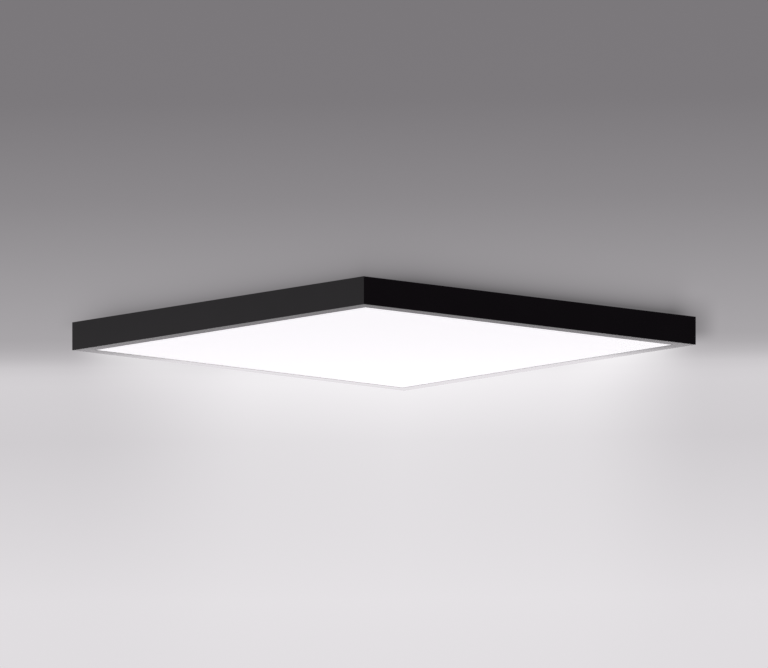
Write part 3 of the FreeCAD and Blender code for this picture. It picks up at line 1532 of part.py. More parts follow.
def make_lamp_leads(label, side):
    """A pair from one end of the driver, down onto the back plate and through it to a light strip."""
    start = driver_across - circuit_reach
    reach = half - lamp_lead_in - start
    rear = dim["lamp_lead_rear"]
    drift = rear - lamp_lead_exit
    tail = (lip_top + shelf_low) / 2 + dim["lamp_lead_tail"]
    leads = []
    for lane in (-1, 1):
        shift = lamp_lead_step * lane
        level = lead_level
        points = [(start * side, lamp_lead_exit + shift, level)]
        for outwards, rearwards in LAMP_LEAD_COURSE:
            y = lamp_lead_exit + shift + drift * rearwards
            points.append(((start + reach * outwards) * side, y, level))
            level = lamp_lead_level
        points.append(((start + reach) * side, rear + shift, level))
        points.append(((start + reach) * side, rear + shift, tail))
        leads.append(tube(points, dim["lamp_lead_diameter"], label))
    return lead_piece(label, leads)


# ---------------------------------------------------------------------------- the whole light


def make_light():
    pieces = [
        make_frame_side("frame_front", 0),
        make_frame_side("frame_right", 90, dim["lamp_lead_rear"]),
        make_frame_side("frame_rear", 180),
        make_frame_side("frame_left", 270, -dim["lamp_lead_rear"]),
        make_corner_keys(),
        make_grub_screws(),
        make_diffuser(),
        make_sheet_piece("light_guide_plate", guide_edge, sheet_edge, diffuser_top, guide_top),
        make_sheet_piece("reflector_sheet", guide_edge, sheet_edge, guide_top, reflector_top),
        make_edge_seal(),
        make_backing_board(),
        make_back_plate(),
        make_back_plate_screws(),
        make_ceiling_plate(),
        make_spring_clips(),
        make_clip_rivets(),
        make_rail_rivets(),
        make_driver_base(),
        make_driver_cover(),
        make_driver_circuit(),
        make_transformer(),
        make_capacitors(),
        make_choke(),
        make_driver_screws(),
        make_terminal_base(),
        make_terminal_lid(),
        make_hinge_pin(),
        make_cable_grommet(),
        make_cable_clamp_bar(),
        make_cable_clamp_screws(),
        make_terminal_box_screws(),
        make_terminal_block(),
        make_contact_clamps(),
        make_earth_tag(),
        make_earth_screw(),
    ]
    for name, turn in (("right", 0), ("left", 180)):
        pieces.append(make_led_strip(f"led_strip_{name}", turn))
        pieces.append(make_led_chips(f"led_chips_{name}", turn))
        pieces.append(make_catch_rail(f"catch_rail_{name}", turn))
        pieces.append(make_lamp_leads(f"lamp_leads_{name}", 1 if name == "right" else -1))
    entries = mains_lead_steps()
    for i, name in enumerate(("live", "neutral", "earth")):
        pieces.append(make_release_button(f"release_button_{name}", pole_steps[i]))
        if name == "earth":
            pieces.append(make_earth_lead("earth_lead", pole_steps[i], lead_turns[i]))
        else:
            pieces.append(make_mains_lead(f"mains_lead_{name}", pole_steps[i], lead_turns[i], entries[i]))
    return pieces


def check(pieces):
    """Stops before anything is written if a feature or a solid has failed."""
    for item in doc.Objects:
        assert not {"Invalid", "Error"} & set(item.State), (item.Name, item.State)
    for piece in pieces:
        assert not piece.Shape.isNull() and piece.Shape.isValid(), piece.Label


light = make_light()
doc.recompute()
check(light)
os.makedirs(PARTS_FOLDER, exist_ok=True)
for piece in light:
    piece.Shape.exportStep(f"{PARTS_FOLDER}/{piece.Label}.step")
print(len(light), "pieces written")
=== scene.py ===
import bpy
import bmesh
import json
import math
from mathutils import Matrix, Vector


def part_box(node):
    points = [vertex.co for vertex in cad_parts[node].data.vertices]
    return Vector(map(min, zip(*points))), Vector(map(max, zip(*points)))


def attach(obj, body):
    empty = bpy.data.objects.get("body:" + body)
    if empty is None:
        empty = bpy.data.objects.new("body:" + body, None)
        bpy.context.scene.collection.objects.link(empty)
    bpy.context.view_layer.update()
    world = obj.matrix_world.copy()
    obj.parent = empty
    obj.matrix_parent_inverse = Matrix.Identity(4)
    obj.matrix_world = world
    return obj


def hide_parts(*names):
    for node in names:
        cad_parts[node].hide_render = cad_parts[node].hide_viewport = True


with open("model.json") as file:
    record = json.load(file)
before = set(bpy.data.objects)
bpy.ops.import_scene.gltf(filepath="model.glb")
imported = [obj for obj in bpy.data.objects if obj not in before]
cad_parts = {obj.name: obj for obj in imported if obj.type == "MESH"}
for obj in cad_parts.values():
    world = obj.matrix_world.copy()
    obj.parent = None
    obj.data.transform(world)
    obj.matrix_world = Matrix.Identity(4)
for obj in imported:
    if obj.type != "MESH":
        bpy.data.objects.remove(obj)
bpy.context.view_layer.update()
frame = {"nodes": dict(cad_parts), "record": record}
nodes = frame["nodes"]
print("stage: the packed light is loaded")

mm = 0.001  # the light's pieces are noted in millimetres, the stage and the lamps in metres
weld = 0.002  # vertices nearer than this, in mm, become one


def corners(node):
    # lowest and highest corner of a CAD node, in mm
    return [[round(value / mm, 3) for value in corner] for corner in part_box(node)]


def clearSelection():
    if bpy.context.object and bpy.context.object.mode != "OBJECT":
        bpy.ops.object.mode_set(mode="OBJECT")
    bpy.ops.object.select_all(action="DESELECT")


def pickOnly(piece):
    clearSelection()
    piece.select_set(True)
    bpy.context.view_layer.objects.active = piece


def settle(piece, spot=(0, 0, 0), turn=(0, 0, 0)):
    # puts the place and turn into the mesh, so the object stays at the origin
    pickOnly(piece)
    piece.location = [piece.location[i] + spot[i] * mm for i in range(3)]
    piece.rotation_euler = turn
    bpy.ops.object.transform_apply(location=True, rotation=True, scale=True)


def selectFaces(piece, test):
    shape = bmesh.from_edit_mesh(piece.data)
    for face in shape.faces:
        face.select_set(bool(test(face.normal)))
    shape.select_flush_mode()
    bmesh.update_edit_mesh(piece.data)


def box(name, low, high, edge=0.0):
    # a cube of the given corners in mm, with its edges bevelled where edge is given
    clearSelection()
    middle = [(low[i] + high[i]) / 2 * mm for i in range(3)]
    bpy.ops.mesh.primitive_cube_add(size=1, location=middle)
    piece = bpy.context.object
    piece.name = piece.data.name = name
    piece.scale = [(high[i] - low[i]) * mm for i in range(3)]
    bpy.ops.object.transform_apply(location=True, rotation=True, scale=True)
    if edge:
        bevelEdges(piece, edge)
    return piece


def bevelEdges(piece, width, steps=2, angle=40):
    pickOnly(piece)
    bevel = piece.modifiers.new("softEdges", "BEVEL")
    bevel.width = width * mm
    bevel.segments = steps
    bevel.limit_method = "ANGLE"
    bevel.angle_limit = math.radians(angle)
    bpy.ops.object.modifier_apply(modifier=bevel.name)


def turnUp(name, rings, sides):
    # pushes a round face up through (radius, height) rings in mm, closed at both ends
    clearSelection()
    first = rings[0]
    bpy.ops.mesh.primitive_circle_add(vertices=sides, radius=first[0] * mm, fill_type="NGON",
                                      location=(0, 0, first[1] * mm))
    piece = bpy.context.object
    piece.name = piece.data.name = name
    bpy.ops.object.transform_apply(location=True, rotation=False, scale=False)
    bpy.ops.object.mode_set(mode="EDIT")
    bpy.ops.mesh.select_all(action="SELECT")
    for before, after in zip(rings, rings[1:]):
        rise = (0, 0, (after[1] - before[1]) * mm)
        bpy.ops.mesh.extrude_region_move(TRANSFORM_OT_translate={"value": rise})
        grow = after[0] / before[0]
        bpy.ops.transform.resize(value=(grow, grow, 1), center_override=(0, 0, after[1] * mm))
    closeShell()
    bpy.ops.object.mode_set(mode="OBJECT")
    return piece


def closeShell():
    bpy.ops.mesh.select_all(action="SELECT")
    bpy.ops.mesh.remove_doubles(threshold=weld * mm)
    bpy.ops.mesh.select_all(action="DESELECT")
    bpy.ops.mesh.select_non_manifold(extend=False, use_wire=False, use_multi_face=False,
                                     use_non_contiguous=False, use_verts=False)
    if bpy.context.object.data.total_edge_sel:
        bpy.ops.mesh.edge_face_add()
    bpy.ops.mesh.select_all(action="SELECT")
    bpy.ops.mesh.normals_make_consistent(inside=False)


def cutWith(piece, cutter):
    pickOnly(piece)
    cut = piece.modifiers.new("cut", "BOOLEAN")
    cut.operation = "DIFFERENCE"
    cut.object = cutter
    cut.solver = "EXACT"
    bpy.ops.object.modifier_apply(modifier=cut.name)
    bpy.data.objects.remove(cutter)


def joinAll(name, pieces):
    clearSelection()
    for piece in pieces:
        piece.select_set(True)
    bpy.context.view_layer.objects.active = pieces[0]
    bpy.ops.object.join()
    joined = bpy.context.object
    joined.name = joined.data.name = name
    return joined


def copyTo(piece, spots, turns=None):
    # one copy with its own mesh at each spot, in mm
    copies = []
    for i, spot in enumerate(spots):
        pickOnly(piece)
        bpy.ops.object.duplicate(linked=False)
        copies.append(bpy.context.object)
        settle(copies[-1], spot, turns[i] if turns else (0, 0, 0))
    bpy.data.objects.remove(piece)
    return copies


def smooth(piece, angle):
    pickOnly(piece)
    bpy.ops.object.shade_smooth_by_angle(angle=math.radians(angle))


def shaderOf(finish):
    return finish.node_tree.nodes["Principled BSDF"]


def newFinish(name, colour, roughness, metallic=0.0, **sockets):
    # a plain shader to start from; a socket's name has _ for a space
    finish = bpy.data.materials.new(name)
    finish.use_nodes = True
    shader = shaderOf(finish)
    shader.inputs["Base Color"].default_value = (*colour, 1)
    shader.inputs["Roughness"].default_value = roughness
    shader.inputs["Metallic"].default_value = metallic
    for socket, value in sockets.items():
        shader.inputs[socket.replace("_", " ")].default_value = value
    return finish


def addNode(finish, kind, **settings):
    node = finish.node_tree.nodes.new(kind)
    for key, value in settings.items():
        socket = key.replace("_", " ")
        if socket in node.inputs:
            node.inputs[socket].default_value = value
        else:
            setattr(node, key, value)
    return node


def link(finish, start, end):
    finish.node_tree.links.new(start, end)


def place(finish, scale=(1, 1, 1), turn=(0, 0, 0)):
    # the piece's own coordinates, in metres, stretched and turned
    where = addNode(finish, "ShaderNodeTexCoord")
    mapping = addNode(finish, "ShaderNodeMapping", Scale=scale, Rotation=turn)
    link(finish, where.outputs["Object"], mapping.inputs["Vector"])
    return mapping.outputs["Vector"]


def noise(finish, where, size, detail, roughness=0.5):
    # clouds about size mm across
    node = addNode(finish, "ShaderNodeTexNoise", Scale=1 / (size * mm), Detail=detail, Roughness=roughness)
    link(finish, where, node.inputs["Vector"])
    return node.outputs["Fac"]


def cells(finish, where, size, **settings):
    # crystals, pores or dots about size mm across
    node = addNode(finish, "ShaderNodeTexVoronoi", Scale=1 / (size * mm), **settings)
    link(finish, where, node.inputs["Vector"])
    return node


def blendColours(finish, factor, first, second, low=0.35, high=0.65):
    # from first to second as the factor goes from low to high
    ramp = addNode(finish, "ShaderNodeValToRGB")
    ramp.color_ramp.elements[0].position = low
    ramp.color_ramp.elements[0].color = (*first, 1)
    ramp.color_ramp.elements[1].position = high
    ramp.color_ramp.elements[1].color = (*second, 1)
    link(finish, factor, ramp.inputs["Fac"])
    return ramp.outputs["Color"]


def tint(finish, factor, first, second, *blend):
    link(finish, blendColours(finish, factor, first, second, *blend), shaderOf(finish).inputs["Base Color"])


def dull(finish, factor, low, high):
    # roughness from low to high with the factor
    node = addNode(finish, "ShaderNodeMapRange", To_Min=low, To_Max=high)
    link(finish, factor, node.inputs["Value"])
    link(finish, node.outputs["Result"], shaderOf(finish).inputs["Roughness"])


def combine(finish, first, second, operation="ADD"):
    node = addNode(finish, "ShaderNodeMath", operation=operation)
    for socket, value in zip(node.inputs, (first, second)):
        if isinstance(value, (int, float)):
            socket.default_value = value
        else:
            link(finish, value, socket)
    return node.outputs["Value"]


def multiply(finish, *values):
    product = values[0]
    for value in values[1:]:
        product = combine(finish, product, value, "MULTIPLY")
    return product


def roughen(finish, height, depth):
    # bump whose full height is depth mm
    bump = addNode(finish, "ShaderNodeBump", Distance=depth * mm)
    link(finish, height, bump.inputs["Height"])
    link(finish, bump.outputs["Normal"], shaderOf(finish).inputs["Normal"])


def shadeOf(colour, share):
    return [min(value * share, 1) for value in colour]


# a cloud or grain is noted as its size in mm and its detail, gloss as the roughness at both ends of
# the pattern it follows, depth in mm, and sockets as the shader's own settings
blackCoat = {"colour": (0.0027, 0.0006, 0.0027), "lighter": (0.0033, 0.0011, 0.0033), "roughness": 0.09,
             "gloss": (0.07, 0.12), "cloud": (35, 4), "grain": (0.45, 2), "depth": 0.0008,
             "sockets": {"Specular_IOR_Level": 0.375}}
opal = {"colour": (0.87, 0.86, 0.87), "lighter": (0.88, 0.87, 0.88), "roughness": 0.4, "cloud": (60, 3),
        "grain": (0.8, 2), "depth": 0.008,
        "sockets": {"Emission_Color": (1.0, 0.972, 1.0, 1), "Emission_Strength": 0.61}}
film = {"colour": (0.9, 0.9, 0.9), "darker": (0.82, 0.82, 0.82), "roughness": 0.35, "cloud": (25, 4),
        "grain": (3, 3), "depth": 0.01}
rubber = {"colour": (0.034, 0.034, 0.035), "darker": (0.014, 0.014, 0.015), "roughness": 0.62,
          "cloud": (2.5, 5), "grain": (0.25, 2), "depth": 0.02}


def makeCloudy(name, look):
    # faint clouds of a second colour, over a fine grain where there is one
    finish = newFinish(name, look["colour"], look["roughness"], **look.get("sockets", {}))
    where = place(finish)
    clouds = noise(finish, where, *look["cloud"])
    tint(finish, clouds, look.get("darker", look["colour"]), look.get("lighter", look["colour"]))
    if "gloss" in look:
        dull(finish, clouds, *look["gloss"])
    if "grain" in look:
        roughen(finish, noise(finish, where, *look["grain"]), look["depth"])
    return finish


moulded = {"darker": 0.96, "cloud": (14, 4), "sheen": (5, 3), "smoother": 0.06, "rougher": 0.08, "detail": 2}


def makeMoulded(name, colour, roughness, texture=0.35, depth=0.012):
    # moulded plastic: spark-eroded texture, faint flow clouds
    finish = newFinish(name, colour, roughness)
    where = place(finish)
    clouds = noise(finish, where, *moulded["cloud"])
    tint(finish, clouds, shadeOf(colour, moulded["darker"]), colour)
    sheen = noise(finish, where, *moulded["sheen"])
    dull(finish, sheen, roughness - moulded["smoother"], roughness + moulded["rougher"])
    roughen(finish, noise(finish, where, texture, moulded["detail"]), depth)
    return finish


sheet = {"rolled": (0.5, 3), "stretch": (1, 0.02, 1), "crystalShare": 0.6, "rolledShare": 0.4,
         "blend": (0.2, 0.8), "smoother": 0.08, "rougher": 0.12, "depth": 0.004}


def makeSheetMetal(name, colour, roughness=0.38, spangle=3.2, contrast=0.07):
    # zinc-coated steel: flat crystals that catch the light differently, with fine rolling marks
    finish = newFinish(name, colour, roughness, 1.0)
    tone = addNode(finish, "ShaderNodeSeparateColor")
    link(finish, cells(finish, place(finish), spangle).outputs["Color"], tone.inputs["Color"])
    rolled = noise(finish, place(finish, sheet["stretch"]), *sheet["rolled"])
    mottle = combine(finish, multiply(finish, tone.outputs["Red"], sheet["crystalShare"]),
                     multiply(finish, rolled, sheet["rolledShare"]))
    tint(finish, mottle, shadeOf(colour, 1 - contrast), shadeOf(colour, 1 + contrast), *sheet["blend"])
    dull(finish, mottle, roughness - sheet["smoother"], roughness + sheet["rougher"])
    roughen(finish, mottle, sheet["depth"])
    return finish


turned = {"marks": (0.35, 4, 0.6), "darker": 0.82, "blend": (0.3, 0.7), "smoother": 0.08, "rougher": 0.14}


def makeTurnedMetal(name, colour, roughness=0.3, stretch=(1, 1, 1), depth=0.004):
    # machined, cast or drawn metal with fine streaks or grains
    finish = newFinish(name, colour, roughness, 1.0)
    marks = noise(finish, place(finish, stretch), *turned["marks"])
    darker = shadeOf(colour, turned["darker"])
    tint(finish, marks, darker, colour, *turned["blend"])
    dull(finish, marks, roughness - turned["smoother"], roughness + turned["rougher"])
    roughen(finish, marks, depth)
    return finish


# pitShade is the painted shade at the bottom of the pores; skin is the foam's own grey
foam = {"pitShade": (0.03, 0.03, 0.032), "skin": (0.13, 0.13, 0.135), "roughness": 0.92,
        "pore": 0.9, "blend": (0.1, 0.5), "depth": 0.25}


def makeFoam():
    # grey foam whose pores are painted darker towards their bottoms, as shade inside them
    finish = newFinish("greyFoam", foam["skin"], foam["roughness"])
    pores = cells(finish, place(finish), foam["pore"]).outputs["Distance"]
    tint(finish, pores, foam["pitShade"], foam["skin"], *foam["blend"])
    roughen(finish, pores, foam["depth"])
    return finish


pressedBoard = {"darker": (0.34, 0.33, 0.31), "lighter": (0.5, 0.49, 0.47),
                "roughness": 0.85, "along": (1, 0.15, 1), "fibre": (1.2, 5, 0.65), "across": (0.2, 1, 1),
                "turn": 0.6, "crossed": (1.5, 5, 0.65), "blend": (0.15, 0.4), "depth": 0.06}


def makeBoard():
    # pressed light board: pale fibres that lie two ways
    finish = newFinish("backingBoard", pressedBoard["lighter"], pressedBoard["roughness"])
    fibres = noise(finish, place(finish, pressedBoard["along"]), *pressedBoard["fibre"])
    tilted = place(finish, pressedBoard["across"], (0, 0, pressedBoard["turn"]))
    felt = multiply(finish, fibres, noise(finish, tilted, *pressedBoard["crossed"]))
    tint(finish, felt, pressedBoard["darker"], pressedBoard["lighter"], *pressedBoard["blend"])
    roughen(finish, felt, pressedBoard["depth"])
    return finish


guide = {"colour": (0.93, 0.96, 0.97), "roughness": 0.06, "clear": 0.85, "refraction": 1.49, "dot": 2.0,
         "gloss": (0.55, 0.03), "depth": 0.02}


def makeGuide():
    # clear sheet with a grid of light-catching dots
    finish = newFinish("clearGuide", guide["colour"], guide["roughness"], Transmission_Weight=guide["clear"],
                       IOR=guide["refraction"])
    dots = cells(finish, place(finish), guide["dot"], Randomness=0.0).outputs["Distance"]
    dull(finish, dots, *guide["gloss"])
    roughen(finish, dots, guide["depth"])
    return finish


# the chips' pitch also places the pads on their strips
chip = {"long": 3.0, "count": 40, "rim": 0.22, "cup": 0.3, "narrow": (1, 0.86, 0.8)}
chipRow = corners("led_chips_right")
chipPitch = (chipRow[1][1] - chipRow[0][1] - chip["long"]) / (chip["count"] - 1)
stripBoard = {"colour": (0.82, 0.83, 0.8), "pad": (0.62, 0.6, 0.52), "roughness": 0.4, "padShare": 0.14,
              "blend": (0.4, 0.6), "grain": (0.4, 2), "grainShare": 0.2, "depth": 0.03}


def makeStripBoard():
    # white solder mask, with a tinned pad midway between every two chips
    finish = newFinish("stripBoard", stripBoard["colour"], stripBoard["roughness"])
    parts = addNode(finish, "ShaderNodeSeparateXYZ")
    link(finish, place(finish, (1, 1 / (chipPitch * mm), 1)), parts.inputs["Vector"])
    step = combine(finish, parts.outputs["Y"], 1.0, "FRACT")
    pad = combine(finish, step, stripBoard["padShare"], "LESS_THAN")
    tint(finish, pad, stripBoard["colour"], stripBoard["pad"], *stripBoard["blend"])
    grain = noise(finish, place(finish), *stripBoard["grain"])
    relief = combine(finish, pad, multiply(finish, grain, stripBoard["grainShare"]))
    roughen(finish, relief, stripBoard["depth"])
    return finish


circuit = {"gap": (0.008, 0.085, 0.028), "track": (0.016, 0.15, 0.05),
           "tin": (0.5, 0.5, 0.48, 1), "roughness": 0.32, "area": 7, "uneven": 0.8, "copperFrom": 0.55,
           "tracks": 5.0, "trackFrom": 0.5, "pad": 2.6, "padShare": 0.13, "blend": (0.2, 0.8), "depth": 0.035}


def makeCircuit():
    # green solder mask over square-cornered copper tracks, with tinned pads between them
    finish = newFinish("greenCircuit", circuit["track"], circuit["roughness"])
    where = place(finish)
    wide = cells(finish, where, circuit["area"], distance="CHEBYCHEV", Randomness=circuit["uneven"])
    fine = cells(finish, where, circuit["pad"], distance="MANHATTAN")
    areas = addNode(finish, "ShaderNodeSeparateColor")
    link(finish, wide.outputs["Color"], areas.inputs["Color"])
    copper = combine(finish, areas.outputs["Red"], circuit["copperFrom"], "GREATER_THAN")
    steps = combine(finish, multiply(finish, wide.outputs["Distance"], circuit["tracks"]), 1.0, "FRACT")
    relief = combine(finish, copper, combine(finish, steps, circuit["trackFrom"], "GREATER_THAN"), "MAXIMUM")
    pads = combine(finish, fine.outputs["Distance"], circuit["padShare"], "LESS_THAN")
    mixed = addNode(finish, "ShaderNodeMix", data_type="RGBA")
    link(finish, pads, mixed.inputs["Factor"])
    mask = blendColours(finish, relief, circuit["gap"], circuit["track"], *circuit["blend"])
    link(finish, mask, mixed.inputs["A"])
    mixed.inputs["B"].default_value = circuit["tin"]
    link(finish, mixed.outputs["Result"], shaderOf(finish).inputs["Base Color"])
    roughen(finish, combine(finish, relief, pads), circuit["depth"])
    return finish


# darker is the share of the wire's colour painted into the grooves between turns, as shade
winding = {"roughness": 0.25, "metallic": 0.9, "darker": 0.35, "blend": (0.05, 0.5), "deep": 1 / 3}


def makeWinding(name, colour, wire=0.35, axis="Z"):
    # enamelled wire laid side by side, with painted shade in the grooves between the turns
    finish = newFinish(name, colour, winding["roughness"], winding["metallic"])
    turns = addNode(finish, "ShaderNodeTexWave", bands_direction=axis, Scale=0.5 / (math.pi * wire * mm))
    link(finish, place(finish), turns.inputs["Vector"])
    # painted shade: the darker colour falls where the bump is lowest, in the groove between two turns
    darker = shadeOf(colour, winding["darker"])
    tint(finish, turns.outputs["Fac"], darker, colour, *winding["blend"])
    roughen(finish, turns.outputs["Fac"], wire * winding["deep"])
    return finish


sleeve = {"darker": 0.85, "stretch": (0.15, 1, 1), "pull": (0.8, 3), "depth": 0.02}


def makeSleeve(name, colour, roughness=0.35):
    # shrunk film: faint pulls along its length
    finish = newFinish(name, colour, roughness)
    pulls = noise(finish, place(finish, sleeve["stretch"]), *sleeve["pull"])
    tint(finish, pulls, shadeOf(colour, sleeve["darker"]), colour)
    roughen(finish, pulls, sleeve["depth"])
    return finish


leadSkin = {"roughness": 0.42, "gloss": (0.36, 0.5), "shade": 0.88, "cloud": (3, 4), "grain": (0.5, 2),
            "depth": 0.01}


def makeLeadSkin(name, colour):
    # soft cable skin, slightly waxy
    darker = shadeOf(colour, leadSkin["shade"])
    return makeCloudy(name, {**leadSkin, "colour": colour, "darker": darker})


stripes = {"green": (0.02, 0.27, 0.05), "yellow": (0.78, 0.62, 0.03), "count": 2.0,
           "yellowShare": 0.42, "blend": (0.45, 0.55)}


def makeStripedSkin():
    # green skin with yellow stripes down its length, by the lead's own around coordinate
    finish = newFinish("greenYellowSkin", stripes["green"], leadSkin["roughness"])
    around = addNode(finish, "ShaderNodeAttribute", attribute_name="around")
    turn = combine(finish, multiply(finish, around.outputs["Fac"], stripes["count"]), 1.0, "FRACT")
    striped = combine(finish, turn, stripes["yellowShare"], "LESS_THAN")
    tint(finish, striped, stripes["green"], stripes["yellow"], *stripes["blend"])
    roughen(finish, noise(finish, place(finish), *leadSkin["grain"]), leadSkin["depth"])
    return finish


# by the record's material slots, and below them those that only pieces of this script wear
finishes = {
    "black_frame": makeCloudy("blackCoat", blackCoat),
    "opal_diffuser": makeCloudy("opalDiffuser", opal),
    "clear_acrylic": makeGuide(),
    "white_film": makeCloudy("whiteFilm", film),
    "grey_foam": makeFoam(),
    "white_circuit": makeStripBoard(),
    "phosphor": makeMoulded("phosphor", (0.85, 0.62, 0.08), 0.4, 0.15, 0.01),
    "grey_board": makeBoard(),
    "zinc_sheet": makeSheetMetal("zincSheet", (0.55, 0.56, 0.57)),
    "spring_steel": makeTurnedMetal("springSteel", (0.42, 0.42, 0.44), 0.28, (1, 0.03, 1)),
    "zinc_fastener": makeTurnedMetal("zincFastener", (0.66, 0.67, 0.7), 0.26),
    "black_screw": makeTurnedMetal("blackScrew", (0.05, 0.05, 0.055), 0.35),
    "cast_key": makeTurnedMetal("castKey", (0.5, 0.5, 0.51), 0.5, depth=0.02),
    "driver_plastic": makeMoulded("driverPlastic", (0.78, 0.78, 0.76), 0.5),
    "green_circuit": makeCircuit(),
    "ferrite": makeMoulded("ferrite", (0.045, 0.045, 0.048), 0.55, 0.2, 0.02),
    "capacitor_sleeve": makeSleeve("capacitorSleeve", (0.02, 0.03, 0.07)),
    "copper_choke": makeWinding("copperWinding", (0.75, 0.3, 0.12)),
    "box_plastic": makeMoulded("boxPlastic", (0.7, 0.7, 0.69), 0.46),
    "block_plastic": makeMoulded("blockPlastic", (0.62, 0.62, 0.6), 0.42, 0.3, 0.008),
    "button_plastic": makeMoulded("buttonPlastic", (0.75, 0.24, 0.03), 0.38, 0.3, 0.006),
    "contact_brass": makeTurnedMetal("contactBrass", (0.78, 0.58, 0.25), 0.28, (0.1, 1, 1)),
    "grommet_rubber": makeCloudy("blackRubber", rubber),
    "brass_screw": makeTurnedMetal("brassScrew", (0.8, 0.6, 0.27), 0.25),
    "brown_lead": makeLeadSkin("brownSkin", (0.1, 0.035, 0.014)),
    "blue_lead": makeLeadSkin("blueSkin", (0.02, 0.1, 0.42)),
    "green_yellow_lead": makeStripedSkin(),
    "white_lead": makeLeadSkin("whiteSkin", (0.78, 0.78, 0.75)),
    "brightZinc": makeSheetMetal("brightZinc", (0.74, 0.75, 0.77), 0.34, 4.5, 0.05),
    "copperCoilTurns": makeWinding("copperCoilTurns", (0.72, 0.28, 0.11), 0.3, "Y"),
    "enamelledCopper": makeTurnedMetal("enamelledCopper", (0.7, 0.26, 0.1), 0.24, (1, 1, 0.2)),
    "amberTape": makeSleeve("amberTape", (0.62, 0.36, 0.05), 0.25),
    "blackMoulding": makeMoulded("blackMoulding", (0.03, 0.03, 0.032), 0.45),
    "whitePackage": makeMoulded("whitePackage", (0.86, 0.86, 0.84), 0.4, 0.2, 0.004),
}


def dress(piece, slotName, finishName=None):
    # finishName is given where the piece looks unlike its slot
    piece.data.materials.clear()
    piece.data.materials.append(finishes[finishName or slotName])


for part in frame["record"]["subparts"]:
    for slotPlace in nodes[part["node"]].material_slots:
        slotPlace.material = finishes[part["material_slot"]]
for slotPlace in nodes["ceiling_plate"].material_slots:
    slotPlace.material = finishes["brightZinc"]
print("stage: every CAD node has its finish")


# the head's shape goes up its side as shares of its radius and height
crossScrew = {"sides": 32, "threadPitch": 0.6, "threadDeep": 0.14, "threadStart": 0.5, "plain": 0.35,
              "point": 0.35, "shoulder": (0.9, 0.35), "neck": 0.95, "recessLong": 0.56, "recessWide": 0.15,
              "recessDeep": 0.6, "edge": 0.05, "firstTurn": 23, "nextTurn": 37,
              "headShape": ((0.97, 0), (1, 0.08), (1, 0.38), (0.97, 0.55), (0.88, 0.78), (0.7, 0.94),
                            (0.4, 1))}
smallScrew = {"slot": "zinc_fastener", "shank": 3.0, "head": 5.6, "high": 1.8}
screwSets = {
    "plateScrews": {**smallScrew, "node": "back_plate_screws", "slot": "black_screw",
                    "spots": [spot for step in (-160, 0, 160)
                              for spot in ((step, -201.5), (step, 201.5), (-201.5, step), (201.5, step))]},
    "driverFixings": {**smallScrew, "node": "driver_screws", "spots": [(-80.5, 116), (80.5, 116)]},
    "boxFixings": {**smallScrew, "node": "terminal_box_screws", "spots": [(-13, 15), (22, -15)]},
    "clampFixings": {**smallScrew, "node": "cable_clamp_screws", "spots": [(-22, -9), (-22, 9)]},
    "earthFixing": {"slot": "brass_screw", "shank": 4.0, "head": 7.0, "high": 2.4, "node": "earth_screw",
                    "spots": [(10, 72)]},
}


def makeCrossScrew(name, size, reach):
    outer = size["shank"] / 2
    root = outer - crossScrew["threadDeep"]
    wide, up = crossScrew["shoulder"]
    rings = [(outer * crossScrew["point"], -reach), (root * wide, -reach + up)]
    height = -reach + crossScrew["threadStart"]
    while height < -crossScrew["plain"]:  # thread ridges
        rings += [(root, height), (outer, height + crossScrew["threadPitch"] / 2)]
        height += crossScrew["threadPitch"]
    head, high = size["head"] / 2, size["high"]
    rings.append((outer * crossScrew["neck"], 0))
    rings += [(head * wide, high * up) for wide, up in crossScrew["headShape"]]
    screw = turnUp(name, rings, crossScrew["sides"])
    long = size["head"] * crossScrew["recessLong"] / 2
    narrow = size["head"] * crossScrew["recessWide"] / 2
    low = high * (1 - crossScrew["recessDeep"])
    for x, y in ((long, narrow), (narrow, long)):
        cutWith(screw, box("recess", (-x, -y, low), (x, y, high + 1)))
    bevelEdges(screw, crossScrew["edge"], 1, 60)
    smooth(screw, 40)
    return screw


def makeScrewSet(name, size):
    low, high = corners(size["node"])
    seat = high[2] - size["high"]  # where the head's underside rests
    screw = makeCrossScrew(name, size, round(seat - low[2], 3))
    turns = [(0, 0, math.radians(crossScrew["firstTurn"] + crossScrew["nextTurn"] * i))
             for i in range(len(size["spots"]))]  # no two left at one angle
    piece = joinAll(name, copyTo(screw, [(x, y, seat) for x, y in size["spots"]], turns))
    dress(piece, size["slot"])
    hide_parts(size["node"])
    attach(piece, "light")


for name, size in screwSets.items():
    makeScrewSet(name, size)
print("stage: cross-head screws")


grub = {"sides": 28, "long": 2.6, "along": 190.0, "socket": 1.15, "deep": 1.2, "pitch": 0.5,
        "threadDeep": 0.12, "threadStart": 0.15, "plain": 0.9, "face": 0.6, "chamfer": 0.3,
        "cone": (0.15, 0.8), "point": (0.55, 0.5)}


